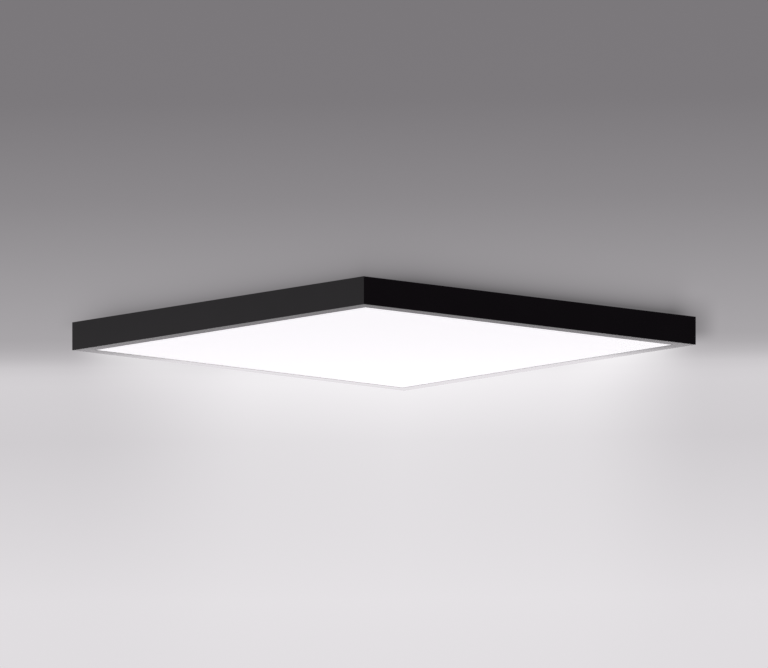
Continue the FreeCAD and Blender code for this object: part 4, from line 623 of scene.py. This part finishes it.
def makeGrubScrews():
    # set screws with hexagon sockets, lying across the corner keys
    low, high = corners("grub_screws")
    tip, level, outer = high[0], (low[2] + high[2]) / 2, (high[2] - low[2]) / 2
    tail = tip - grub["long"]
    rings = [(grub["face"], tail), (outer - grub["chamfer"], tail)]
    height = tail + grub["threadStart"]
    while height < tip - grub["plain"]:
        rings += [(outer - grub["threadDeep"], height), (outer, height + grub["pitch"] / 2)]
        height += grub["pitch"]
    rings += [(outer - grub["cone"][0], tip - grub["cone"][1]), (outer * grub["point"][0], tip),
              (grub["point"][1], tip)]
    screw = turnUp("grubScrews", rings, grub["sides"])
    clearSelection()
    bpy.ops.mesh.primitive_cylinder_add(vertices=6, radius=grub["socket"] * mm, depth=grub["deep"] * 2 * mm,
                                        location=(0, 0, tail * mm))
    cutWith(screw, bpy.context.object)
    smooth(screw, 35)
    settle(screw, turn=(0, math.pi / 2, 0))
    corner = joinAll("grubScrews", copyTo(screw, [(0, grub["along"] * side, level) for side in (-1, 1)]))
    quarters = [(0, 0, math.pi / 2 * i) for i in range(4)]
    piece = joinAll("grubScrews", copyTo(corner, [(0, 0, 0)] * 4, quarters))
    dress(piece, "black_screw")
    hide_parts("grub_screws")
    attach(piece, "light")


makeGrubScrews()
print("stage: grub screws")


# tail and dome are shares of the head's radius and thickness, away from the gripped sheets on both sides
rivet = {"sides": 28, "shank": 1.6, "head": 2.2, "thick": 0.9, "pin": 0.85, "pinUp": 0.97, "pinNarrow": 0.94,
         "pinDeep": 0.45, "tail": ((0.45, 1), (0.85, 0.92), (0.99, 0.6), (0.96, 0.25), (0.8, 0)),
         "dome": ((1, 0), (1, 0.28), (0.93, 0.62), (0.74, 0.9), (0.5, 1))}
rivetSets = {
    "railRivets": {"node": "rail_rivets", "body": "light", "grip": 1.6, "lying": False,
                   "spots": [(side * 153.5, along) for side in (-1, 1) for along in (-60, -20, 20, 60)]},
    "clipRivets": {"node": "clip_rivets", "body": "ceiling_side", "grip": 1.7, "lying": True,
                   "spots": [(side, y + step) for side in (-1, 1) for y in (-45, 45)
                             for step in (-4.5, 4.5)]},
}


def makeRivet(name, low, high):
    head, shank, thick, pin = rivet["head"], rivet["shank"], rivet["thick"], rivet["pin"]
    rings = [(head * wide, low - thick * down) for wide, down in rivet["tail"]]
    rings += [(shank, low), (shank, high)]
    rings += [(head * wide, high + thick * up) for wide, up in rivet["dome"]]
    rings += [(pin, high + thick * rivet["pinUp"]),
              (pin * rivet["pinNarrow"], high + thick - rivet["pinDeep"])]
    piece = turnUp(name, rings, rivet["sides"])
    smooth(piece, 42)
    return piece


def makeRivetSet(name, size):
    # upright through the rails, or lying through the clips at both ends of the ceiling plate
    low, high = corners(size["node"])
    top = (high[0] if size["lying"] else high[2]) - rivet["thick"]
    one = makeRivet(name, top - size["grip"], top)
    if size["lying"]:
        level = (low[2] + high[2]) / 2
        turns = [(0, math.pi / 2 * side, 0) for side, along in size["spots"]]
        copies = copyTo(one, [(0, along, level) for side, along in size["spots"]], turns)
    else:
        copies = copyTo(one, [(x, y, 0) for x, y in size["spots"]])
    piece = joinAll(name, copies)
    dress(piece, "zinc_fastener")
    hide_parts(size["node"])
    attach(piece, size["body"])


for name, size in rivetSets.items():
    makeRivetSet(name, size)
print("stage: rivets")


def makeChips():
    # white packages with a cup of yellow phosphor, in a row down each strip
    low, high = chipRow
    middle = low[1] + chip["long"] / 2
    one = box("ledPackages", low, (high[0], low[1] + chip["long"], high[2]))
    for name in ("whitePackage", "phosphor", "contact_brass"):
        one.data.materials.append(finishes[name])
    pickOnly(one)
    bpy.ops.object.mode_set(mode="EDIT")
    bpy.ops.mesh.select_mode(type="FACE")
    selectFaces(one, lambda normal: abs(normal.y) > 0.9)
    one.active_material_index = 2
    bpy.ops.object.material_slot_assign()
    selectFaces(one, lambda normal: normal.x < -0.9)
    bpy.ops.mesh.inset(thickness=chip["rim"] * mm)
    bpy.ops.mesh.extrude_region_move(TRANSFORM_OT_translate={"value": (chip["cup"] * mm, 0, 0)})
    cupFloor = ((low[0] + chip["cup"]) * mm, middle * mm, (low[2] + high[2]) / 2 * mm)
    bpy.ops.transform.resize(value=chip["narrow"], center_override=cupFloor)
    one.active_material_index = 1
    bpy.ops.object.material_slot_assign()
    bpy.ops.object.mode_set(mode="OBJECT")
    row = one.modifiers.new("row", "ARRAY")
    row.use_relative_offset = False
    row.use_constant_offset = True
    row.constant_offset_displace = (0, chipPitch * mm, 0)
    row.count = chip["count"]
    bpy.ops.object.modifier_apply(modifier="row")
    for piece, side in zip(copyTo(one, [(0, 0, 0)] * 2, [(0, 0, 0), (0, 0, math.pi)]), ("right", "left")):
        piece.name = piece.data.name = "ledPackages_" + side
        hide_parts("led_chips_" + side)
        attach(piece, "light")


makeChips()
print("stage: light chips")


# what stands on the driver's circuit
board = corners("driver_circuit")
circuitTop = board[1][2]
driverMiddle = (board[0][1] + board[1][1]) / 2
core = {"leg": 4.5, "edge": 0.35, "seamHalf": 0.06, "seamDeep": 0.12}
coil = {"long": 8.15, "wide": 4.4, "high": 2.9, "round": 1.1, "roundSteps": 5}
tape = {"wide": 3.1, "longer": 1.012, "higher": 1.03}
bobbin = {"thick": 0.6, "longer": 0.35, "higher": 0.4, "edge": 0.15}


def makeCore(low, high):
    # closed ferrite frame with a glued seam in one side
    piece = box("transformerCore", low, high, core["edge"])
    inset = core["leg"] / 2
    for side in (-1, 1):
        xs = sorted((inset * side, (high[0] - inset) * side))
        cutWith(piece, box("window", (xs[0], low[1] + inset, low[2] - 1),
                           (xs[1], high[1] - inset, high[2] + 1)))
    cutWith(piece, box("seam", (low[0] - 1, driverMiddle - core["seamHalf"], low[2] - 1),
                       (low[0] + core["seamDeep"], driverMiddle + core["seamHalf"], high[2] + 1)))
    smooth(piece, 30)
    dress(piece, "ferrite")
    return piece


def makeCoil(level):
    # wound block whose long edges are rounded
    x, y, z = coil["long"], coil["wide"], coil["high"]
    piece = box("transformerCoil", (-x, driverMiddle - y, level - z), (x, driverMiddle + y, level + z))
    pickOnly(piece)
    bpy.ops.object.mode_set(mode="EDIT")
    bpy.ops.mesh.select_mode(type="EDGE")
    shape = bmesh.from_edit_mesh(piece.data)
    for edge in shape.edges:
        edge.select_set(abs((edge.verts[0].co - edge.verts[1].co).y) > coil["wide"] * mm)
    bmesh.update_edit_mesh(piece.data)
    bpy.ops.mesh.bevel(offset=coil["round"] * mm, segments=coil["roundSteps"], affect="EDGES")
    bpy.ops.object.mode_set(mode="OBJECT")
    smooth(piece, 40)
    dress(piece, "copper_choke", "copperCoilTurns")
    return piece


def makeTape(wound, level):
    # a belt around the coil's middle, from a copy of the coil
    pickOnly(wound)
    bpy.ops.object.duplicate(linked=False)
    piece = bpy.context.object
    piece.name = piece.data.name = "transformerTape"
    pickOnly(piece)
    bpy.ops.object.mode_set(mode="EDIT")
    bpy.ops.mesh.select_all(action="SELECT")
    grow = (tape["longer"], tape["wide"] / coil["wide"], tape["higher"])
    bpy.ops.transform.resize(value=grow, center_override=(0, driverMiddle * mm, level * mm))
    bpy.ops.object.mode_set(mode="OBJECT")
    dress(piece, "copper_choke", "amberTape")
    return piece


def makeBobbin(level):
    # one flange at each end of the coil
    x, z = coil["long"] + bobbin["longer"], coil["high"] + bobbin["higher"]
    flanges = []
    for side in (-1, 1):
        ys = sorted(((coil["wide"] + bobbin["thick"]) * side, coil["wide"] * side))
        flanges.append(box("transformerBobbin", (-x, driverMiddle + ys[0], level - z),
                           (x, driverMiddle + ys[1], level + z), bobbin["edge"]))
    piece = joinAll("transformerBobbin", flanges)
    dress(piece, "ferrite", "blackMoulding")
    return piece


def makeTransformer():
    low, high = corners("transformer")
    level = (low[2] + high[2]) / 2
    ferrite = makeCore(low, high)
    wound = makeCoil(level)
    for piece in (ferrite, wound, makeTape(wound, level), makeBobbin(level)):
        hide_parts("transformer")
        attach(piece, "light")


# rings are shares of the radius, with a distance from the sleeve's rear end, groove or front end
can = {"sides": 40, "radius": 3.5, "offset": 7.0, "groove": (4.2, 2.8), "waist": (0.85, 0.15),
       "rear": ((0.84, 0.12), (0.9, 0), (0.97, 0.15), (1, 0.5)), "grooveLow": ((1, -0.1), (0.95, 0.15)),
       "grooveHigh": ((0.95, -0.15), (1, 0.1)), "front": ((1, 0.45), (0.96, 0.1), (0.84, 0), (0.8, 0.12))}
vent = {"sides": 32, "rings": ((0.6, -0.02), (0.8, 0.02), (0.83, 0.2)), "scoreLong": 2.1, "scoreWide": 0.09,
        "scoreTop": 0.06}
bung = {"sides": 32, "rings": ((0.8, 0.2), (0.78, 0.02), (0.5, 0.02), (0.46, 0.12))}


def makeCapacitors():
    ends = corners("capacitors")
    radius, start, end = can["radius"], ends[0][0], ends[1][0]
    low, high = (end - edge for edge in can["groove"])
    middle = (low + high) / 2
    rings = [(radius * wide, start + step) for wide, step in can["rear"]]
    rings += [(radius * wide, low + step) for wide, step in can["grooveLow"]]
    rings += [(radius * can["waist"][0], middle + can["waist"][1] * side) for side in (-1, 1)]
    rings += [(radius * wide, high + step) for wide, step in can["grooveHigh"]]
    rings += [(radius * wide, end - step) for wide, step in can["front"]]
    body = turnUp("capacitorSleeves", rings, can["sides"])
    rings = [(radius * wide, start + step) for wide, step in vent["rings"]]
    top = turnUp("capacitorTops", rings, vent["sides"])
    for x, y in ((vent["scoreLong"], vent["scoreWide"]), (vent["scoreWide"], vent["scoreLong"])):
        cutWith(top, box("score", (-x, -y, start - 1), (x, y, start + vent["scoreTop"])))
    rings = [(radius * wide, end - step) for wide, step in bung["rings"]]
    plug = turnUp("capacitorBungs", rings, bung["sides"])
    spots = [(0, driverMiddle + can["offset"] * side, circuitTop + radius) for side in (-1, 1)]
    for piece, slotName in ((body, "capacitor_sleeve"), (top, "zinc_fastener"), (plug, "grommet_rubber")):
        name = piece.name
        smooth(piece, 40)
        settle(piece, turn=(0, math.pi / 2, 0))
        both = joinAll(name, copyTo(piece, spots))
        dress(both, slotName)
        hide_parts("capacitors")
        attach(both, "light")


# foot and top are shares of the drum's radius, with a height above its foot or a depth below its top
choke = {"sides": 40, "x": -44.0, "radius": 4.5, "waist": 3.0, "rim": 1.2, "wire": 0.36, "wound": 4.0,
         "groove": 0.1, "neck": 0.94, "rimEdge": 0.15, "gap": 0.1, "foot": ((0.9, 0), (1, 0.15)),
         "top": ((1, 0.2), (0.95, 0), (0.3, 0), (0.26, 0.25))}


def makeChoke():
    high, rim, radius = corners("choke")[1][2] - circuitTop, choke["rim"], choke["radius"]
    neck, waist, wire, gap = radius * choke["neck"], choke["waist"], choke["wire"], choke["gap"]
    rings = [(radius * wide, up) for wide, up in choke["foot"]]
    rings += [(radius, rim - choke["rimEdge"]), (neck, rim), (waist, rim + gap), (waist, high - rim - gap),
              (neck, high - rim), (radius, high - rim + choke["rimEdge"])]
    rings += [(radius * wide, high - down) for wide, down in choke["top"]]
    drum = turnUp("chokeDrum", rings, choke["sides"])
    rings = [(waist, rim + gap / 2)]
    height = rim + gap
    while height < high - rim - wire:  # one ridge for each turn of wire
        rings += [(choke["wound"] - choke["groove"], height), (choke["wound"], height + wire / 2)]
        height += wire
    rings += [(choke["wound"] - choke["groove"], height), (waist, high - rim - gap / 2)]
    wound = turnUp("chokeWinding", rings, choke["sides"])
    for piece, looks in ((drum, ("ferrite",)), (wound, ("copper_choke", "enamelledCopper"))):
        smooth(piece, 42)
        settle(piece, (choke["x"], driverMiddle, circuitTop))
        dress(piece, *looks)
        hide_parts("choke")
        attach(piece, "light")


makeTransformer()
makeCapacitors()
makeChoke()
print("stage: transformer, capacitors and choke")


earthLead = {"radius": 1.1, "around": 16, "steps": 12,
             "points": ((8.7, 8, -13), (14, 8, -13), (21, 8, -13), (21, 15, -13), (21, 29.9, -13),
                        (10, 49.6, -14.9), (10, 58, -14.9), (10, 66.7, -14.9))}


def makeEarthLead():
    # the lead's skin on its route, with a coordinate around it that the stripes follow
    clearSelection()
    bpy.ops.curve.primitive_nurbs_path_add()
    lead = bpy.context.object
    lead.name = "earthLeadSkin"
    spline = lead.data.splines[0]
    spline.points.add(len(earthLead["points"]) - len(spline.points))
    for point, spot in zip(spline.points, earthLead["points"]):
        point.co = (spot[0] * mm, spot[1] * mm, spot[2] * mm, 1)
    spline.order_u = 3
    spline.use_endpoint_u = True
    spline.resolution_u = earthLead["steps"]
    lead.data.bevel_depth = earthLead["radius"] * mm
    lead.data.bevel_resolution = earthLead["around"] // 2 - 2
    lead.data.use_fill_caps = False
    bpy.ops.object.convert(target="MESH")
    lead = bpy.context.object
    shape = lead.data
    around = shape.attributes.new("around", "FLOAT", "CORNER")
    ring = earthLead["around"]
    for face in shape.polygons:
        places = [shape.loops[i].vertex_index % ring for i in face.loop_indices]
        wraps = max(places) - min(places) > 1
        for i, at in zip(face.loop_indices, places):
            around.data[i].value = (at + (ring if wraps and at == 0 else 0)) / ring
    pickOnly(lead)
    bpy.ops.object.mode_set(mode="EDIT")
    bpy.ops.mesh.select_all(action="SELECT")
    bpy.ops.mesh.fill_holes(sides=0)
    bpy.ops.mesh.normals_make_consistent(inside=False)
    smooth(lead, 60)
    dress(lead, "green_yellow_lead")
    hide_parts("earth_lead")
    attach(lead, "light")


makeEarthLead()
print("stage: earth lead")


# view, stage and lamps are in metres, and what is on the picture in its pixels
picture = (768, 668)
view = {"azimuth": -41.3, "elevation": -8.0, "aim": (0, 0, -0.014), "width": 0.730, "distance": 0.9,
        "near": 0.01, "far": 40}
pixel = view["width"] / picture[0]
dome = {"radius": 6.0, "segments": 96, "rings": 64}
domeMiddle = dome["radius"] * math.sin(math.radians(-view["elevation"])) + view["aim"][2]
# tones go by row of the picture, and below it they darken again as painted shade that the frame's near
# undersides reflect;
# glow and spill are a painted pool of light on the wall below the light, halo its painted soft shadow above
# it, deeper right of the crest, and corner a painted shadow beside the right corner
backdrop = {"tones": ((0, 120), (100, 121), (200, 136.5), (340, 166), (352, 176), (368, 203), (380, 208),
                      (440, 204.5), (600, 221.5), (900, 219), (1700, 180)),
            "tint": 3, "rows": 2400, "tilt": 0.0124, "middle": 383.5, "poolStart": (-3, 1),
            "glow": 0.25, "glowReach": 105.0, "glowLeft": (72, 262), "glowRight": (715, 570),
            "spill": 0.24, "spillReach": 12.0, "spillOut": (318, 270), "spillIn": (170, 260),
            "halo": 0.37, "haloReach": 12.0, "haloLeft": (53, 124), "haloRight": (700, 670),
            "haloStart": (-14, -2), "deeper": 0.24, "deeperFrom": (345, 430),
            "corner": 0.34, "cornerOut": (722, 694), "cornerIn": (660, 694), "cornerTop": (290, 326),
            "cornerFoot": (346, 330)}
topEdge = {"crest": (363.5, 275.0), "left": 0.16, "right": 0.1226}
lowEdge = {"crest": (403.0, 389.5), "left": 0.1208, "right": 0.1541}


def linear(tone):
    # a tone of 0 to 255 as an amount of light
    share = tone / 255
    return share / 12.92 if share <= 0.04045 else ((share + 0.055) / 1.055) ** 2.4


def rowHeight(row):
    # height on the dome that the camera sees at a row of the picture
    return domeMiddle + (picture[1] / 2 - row) * pixel * math.cos(math.radians(view["elevation"]))


def fade(finish, value, low, high, kind="SMOOTHSTEP"):
    # from 0 at low to 1 at high
    node = addNode(finish, "ShaderNodeMapRange", interpolation_type=kind, From_Min=low, From_Max=high)
    link(finish, value, node.inputs["Value"])
    return node.outputs["Result"]


def dieAway(finish, distance, reach):
    # 1 up to no distance, then falling by e in every reach
    steps = combine(finish, combine(finish, distance, 0.0, "MAXIMUM"), -reach, "DIVIDE")
    return combine(finish, math.e, steps, "POWER")


def edgeRow(finish, column, edge, side):
    # the row of a corner edge of the light, which leaves its crest at two slopes
    aside = combine(finish, column, edge["crest"][0], "SUBTRACT")
    left = multiply(finish, aside, -edge["left"])
    right = multiply(finish, aside, edge["right"])
    drop = multiply(finish, combine(finish, left, right, "MAXIMUM"), side)
    return combine(finish, drop, edge["crest"][1])


def newGlow(name, strength=1.0):
    # a finish that only shines, with its emission node
    finish = bpy.data.materials.new(name)
    finish.use_nodes = True
    finish.node_tree.nodes.clear()
    shine = addNode(finish, "ShaderNodeEmission", Strength=strength)
    output = addNode(finish, "ShaderNodeOutputMaterial")
    link(finish, shine.outputs["Emission"], output.inputs["Surface"])
    return finish, shine


def makeWallTone(finish, row, aside):
    # the wall's grey, which darkens upwards and tilts a little; far below the picture it is painted darker,
    # as shade for the frame's reflections
    ramp = addNode(finish, "ShaderNodeValToRGB")
    stops = ramp.color_ramp.elements
    while len(stops) < len(backdrop["tones"]):
        stops.new(0.5)
    for stop, (at, tone) in zip(stops, backdrop["tones"]):
        stop.position = at / backdrop["rows"]
        tinted = linear(tone + backdrop["tint"])
        stop.color = (tinted, linear(tone), tinted, 1)
    tilted = combine(finish, row, multiply(finish, aside, backdrop["tilt"]))
    link(finish, combine(finish, tilted, backdrop["rows"], "DIVIDE"), ramp.inputs["Fac"])
    return ramp.outputs["Color"]


def makeBackdropFinish():
    # pale wall with a painted pool of light below the light, a painted soft shadow above it and a painted
    # shadow beside its right corner
    finish, shine = newGlow("backdropPaper")

    def fades(value, *names):
        return multiply(finish, *[fade(finish, value, *backdrop[name]) for name in names])

    def remainder(shade):
        return combine(finish, 1.0, shade, "SUBTRACT")

    where = addNode(finish, "ShaderNodeSeparateXYZ")
    link(finish, place(finish, turn=(0, 0, -math.radians(view["azimuth"]))), where.inputs["Vector"])
    column = combine(finish, multiply(finish, where.outputs["X"], 1 / pixel), picture[0] / 2)
    height = fade(finish, where.outputs["Z"], rowHeight(0), rowHeight(backdrop["rows"]), "LINEAR")
    row = multiply(finish, height, backdrop["rows"])
    aside = combine(finish, column, backdrop["middle"], "SUBTRACT")
    out = combine(finish, aside, 0.0, "ABSOLUTE")
    below = combine(finish, row, edgeRow(finish, column, lowEdge, -1), "SUBTRACT")
    above = combine(finish, edgeRow(finish, column, topEdge, 1), row, "SUBTRACT")
    # painted pool of light on the wall below the light's lower edge
    glow = multiply(finish, fades(column, "glowLeft", "glowRight"), backdrop["glow"],
                    dieAway(finish, below, backdrop["glowReach"]))
    spill = multiply(finish, fades(out, "spillOut", "spillIn"), backdrop["spill"],
                     dieAway(finish, below, backdrop["spillReach"]))
    pool = multiply(finish, combine(finish, glow, spill), fades(below, "poolStart"))
    # painted soft shadow on the wall above the light's top edge, deeper right of the crest
    deeper = multiply(finish, fades(column, "deeperFrom"), backdrop["deeper"])
    deep = combine(finish, deeper, backdrop["halo"])
    halo = multiply(finish, deep, fades(column, "haloLeft", "haloRight"), fades(above, "haloStart"),
                    dieAway(finish, above, backdrop["haloReach"]))
    # painted shadow on the wall beside the light's right corner
    corner = multiply(finish, fades(column, "cornerOut", "cornerIn"), fades(row, "cornerTop", "cornerFoot"),
                      backdrop["corner"])
    shaded = addNode(finish, "ShaderNodeVectorMath", operation="SCALE")
    link(finish, makeWallTone(finish, row, aside), shaded.inputs[0])
    link(finish, multiply(finish, remainder(halo), remainder(corner)), shaded.inputs["Scale"])
    lit = addNode(finish, "ShaderNodeVectorMath", operation="ADD")
    link(finish, shaded.outputs["Vector"], lit.inputs[0])
    link(finish, pool, lit.inputs[1])
    link(finish, lit.outputs["Vector"], shine.inputs["Color"])
    return finish


floor = {"size": 11.0, "level": -2.4, "colour": (0.74, 0.74, 0.75), "darker": (0.7, 0.7, 0.71),
         "roughness": 0.8, "cloud": (400, 3)}


def makeStage():
    clearSelection()
    bpy.ops.mesh.primitive_uv_sphere_add(segments=dome["segments"], ring_count=dome["rings"],
                                         radius=dome["radius"])
    shell = bpy.context.object
    shell.name = "backdropDome"
    bpy.ops.object.shade_smooth()
    shell.data.materials.append(makeBackdropFinish())
    shell.visible_diffuse = False
    shell.visible_shadow = False
    clearSelection()
    bpy.ops.mesh.primitive_plane_add(size=floor["size"], location=(0, 0, floor["level"]))
    ground = bpy.context.object
    ground.name = "paleFloor"
    ground.data.materials.append(makeCloudy("floorPaper", floor))


def makeCamera():
    azimuth = math.radians(view["azimuth"])
    elevation = math.radians(view["elevation"])
    flat = math.cos(elevation)
    back = (math.sin(azimuth) * flat, -math.cos(azimuth) * flat, math.sin(elevation))
    spot = [view["aim"][i] + back[i] * view["distance"] for i in range(3)]
    bpy.ops.object.camera_add(location=spot, rotation=(math.pi / 2 - elevation, 0, azimuth))
    camera = bpy.context.object
    camera.name = "photoCamera"
    camera.data.type = "ORTHO"
    camera.data.ortho_scale = view["width"]
    camera.data.clip_start = view["near"]
    camera.data.clip_end = view["far"]
    bpy.context.scene.camera = camera


card = {"spot": (0.98, -1.326, 0.195), "size": (1.1, 0.6), "tone": 0.085}


def makeCard():
    # dark card beside the light, seen only as the dim reflection in its right side
    clearSelection()
    bpy.ops.mesh.primitive_plane_add(size=1, location=card["spot"])
    panel = bpy.context.object
    panel.name = "darkCard"
    panel.scale = (card["size"][0], card["size"][1], 1)
    panel.rotation_euler = (math.pi / 2, 0, math.atan2(-card["spot"][0], card["spot"][1]))
    panel.data.materials.append(newGlow("darkCard", card["tone"])[0])
    for seen in ("visible_camera", "visible_diffuse", "visible_transmission", "visible_shadow"):
        setattr(panel, seen, False)


lamps = {
    "leftSoft": {"spot": (-1.25, 1.2, 0.22), "aim": (-0.21, 0, -0.014), "size": (1.3, 1.0),
                 "level": 0.2, "colour": (1, 1, 1)},
    "topSoft": {"spot": (0.6, -0.5, 2.3), "aim": (0, 0, 0), "size": (2.2, 2.2),
                "level": 1.6, "colour": (1, 1, 1)},
    "farStrip": {"spot": (0.264, 0.3, -0.049), "aim": (0.124, 0.157, -0.049), "size": (1.0, 0.058),
                 "level": 1.3, "colour": (1, 0.965, 1)},
}
roomLight = {"colour": (0.78, 0.78, 0.8, 1), "strength": 0.5}


def makeLamps():
    for name, lamp in lamps.items():
        bpy.ops.object.light_add(type="AREA", location=lamp["spot"])
        light = bpy.context.object
        light.name = light.data.name = name
        light.data.shape = "RECTANGLE"
        light.data.size, light.data.size_y = lamp["size"]
        light.data.energy = lamp["level"] * math.pi * lamp["size"][0] * lamp["size"][1]
        light.data.color = lamp["colour"]
        ahead = [lamp["aim"][i] - lamp["spot"][i] for i in range(3)]
        tip = math.atan2(math.hypot(ahead[0], ahead[1]), -ahead[2])
        light.rotation_euler = (tip, 0, math.atan2(ahead[1], ahead[0]) - math.pi / 2)
        light.visible_camera = False
    world = bpy.data.worlds.new("roomLight")
    world.use_nodes = True
    background = world.node_tree.nodes["Background"]
    background.inputs["Color"].default_value = roomLight["colour"]
    background.inputs["Strength"].default_value = roomLight["strength"]
    bpy.context.scene.world = world


makeStage()
makeCamera()
makeCard()
makeLamps()
bpy.context.scene.view_settings.view_transform = "Standard"
print("stage: floor, backdrop, camera and lamps are in place")
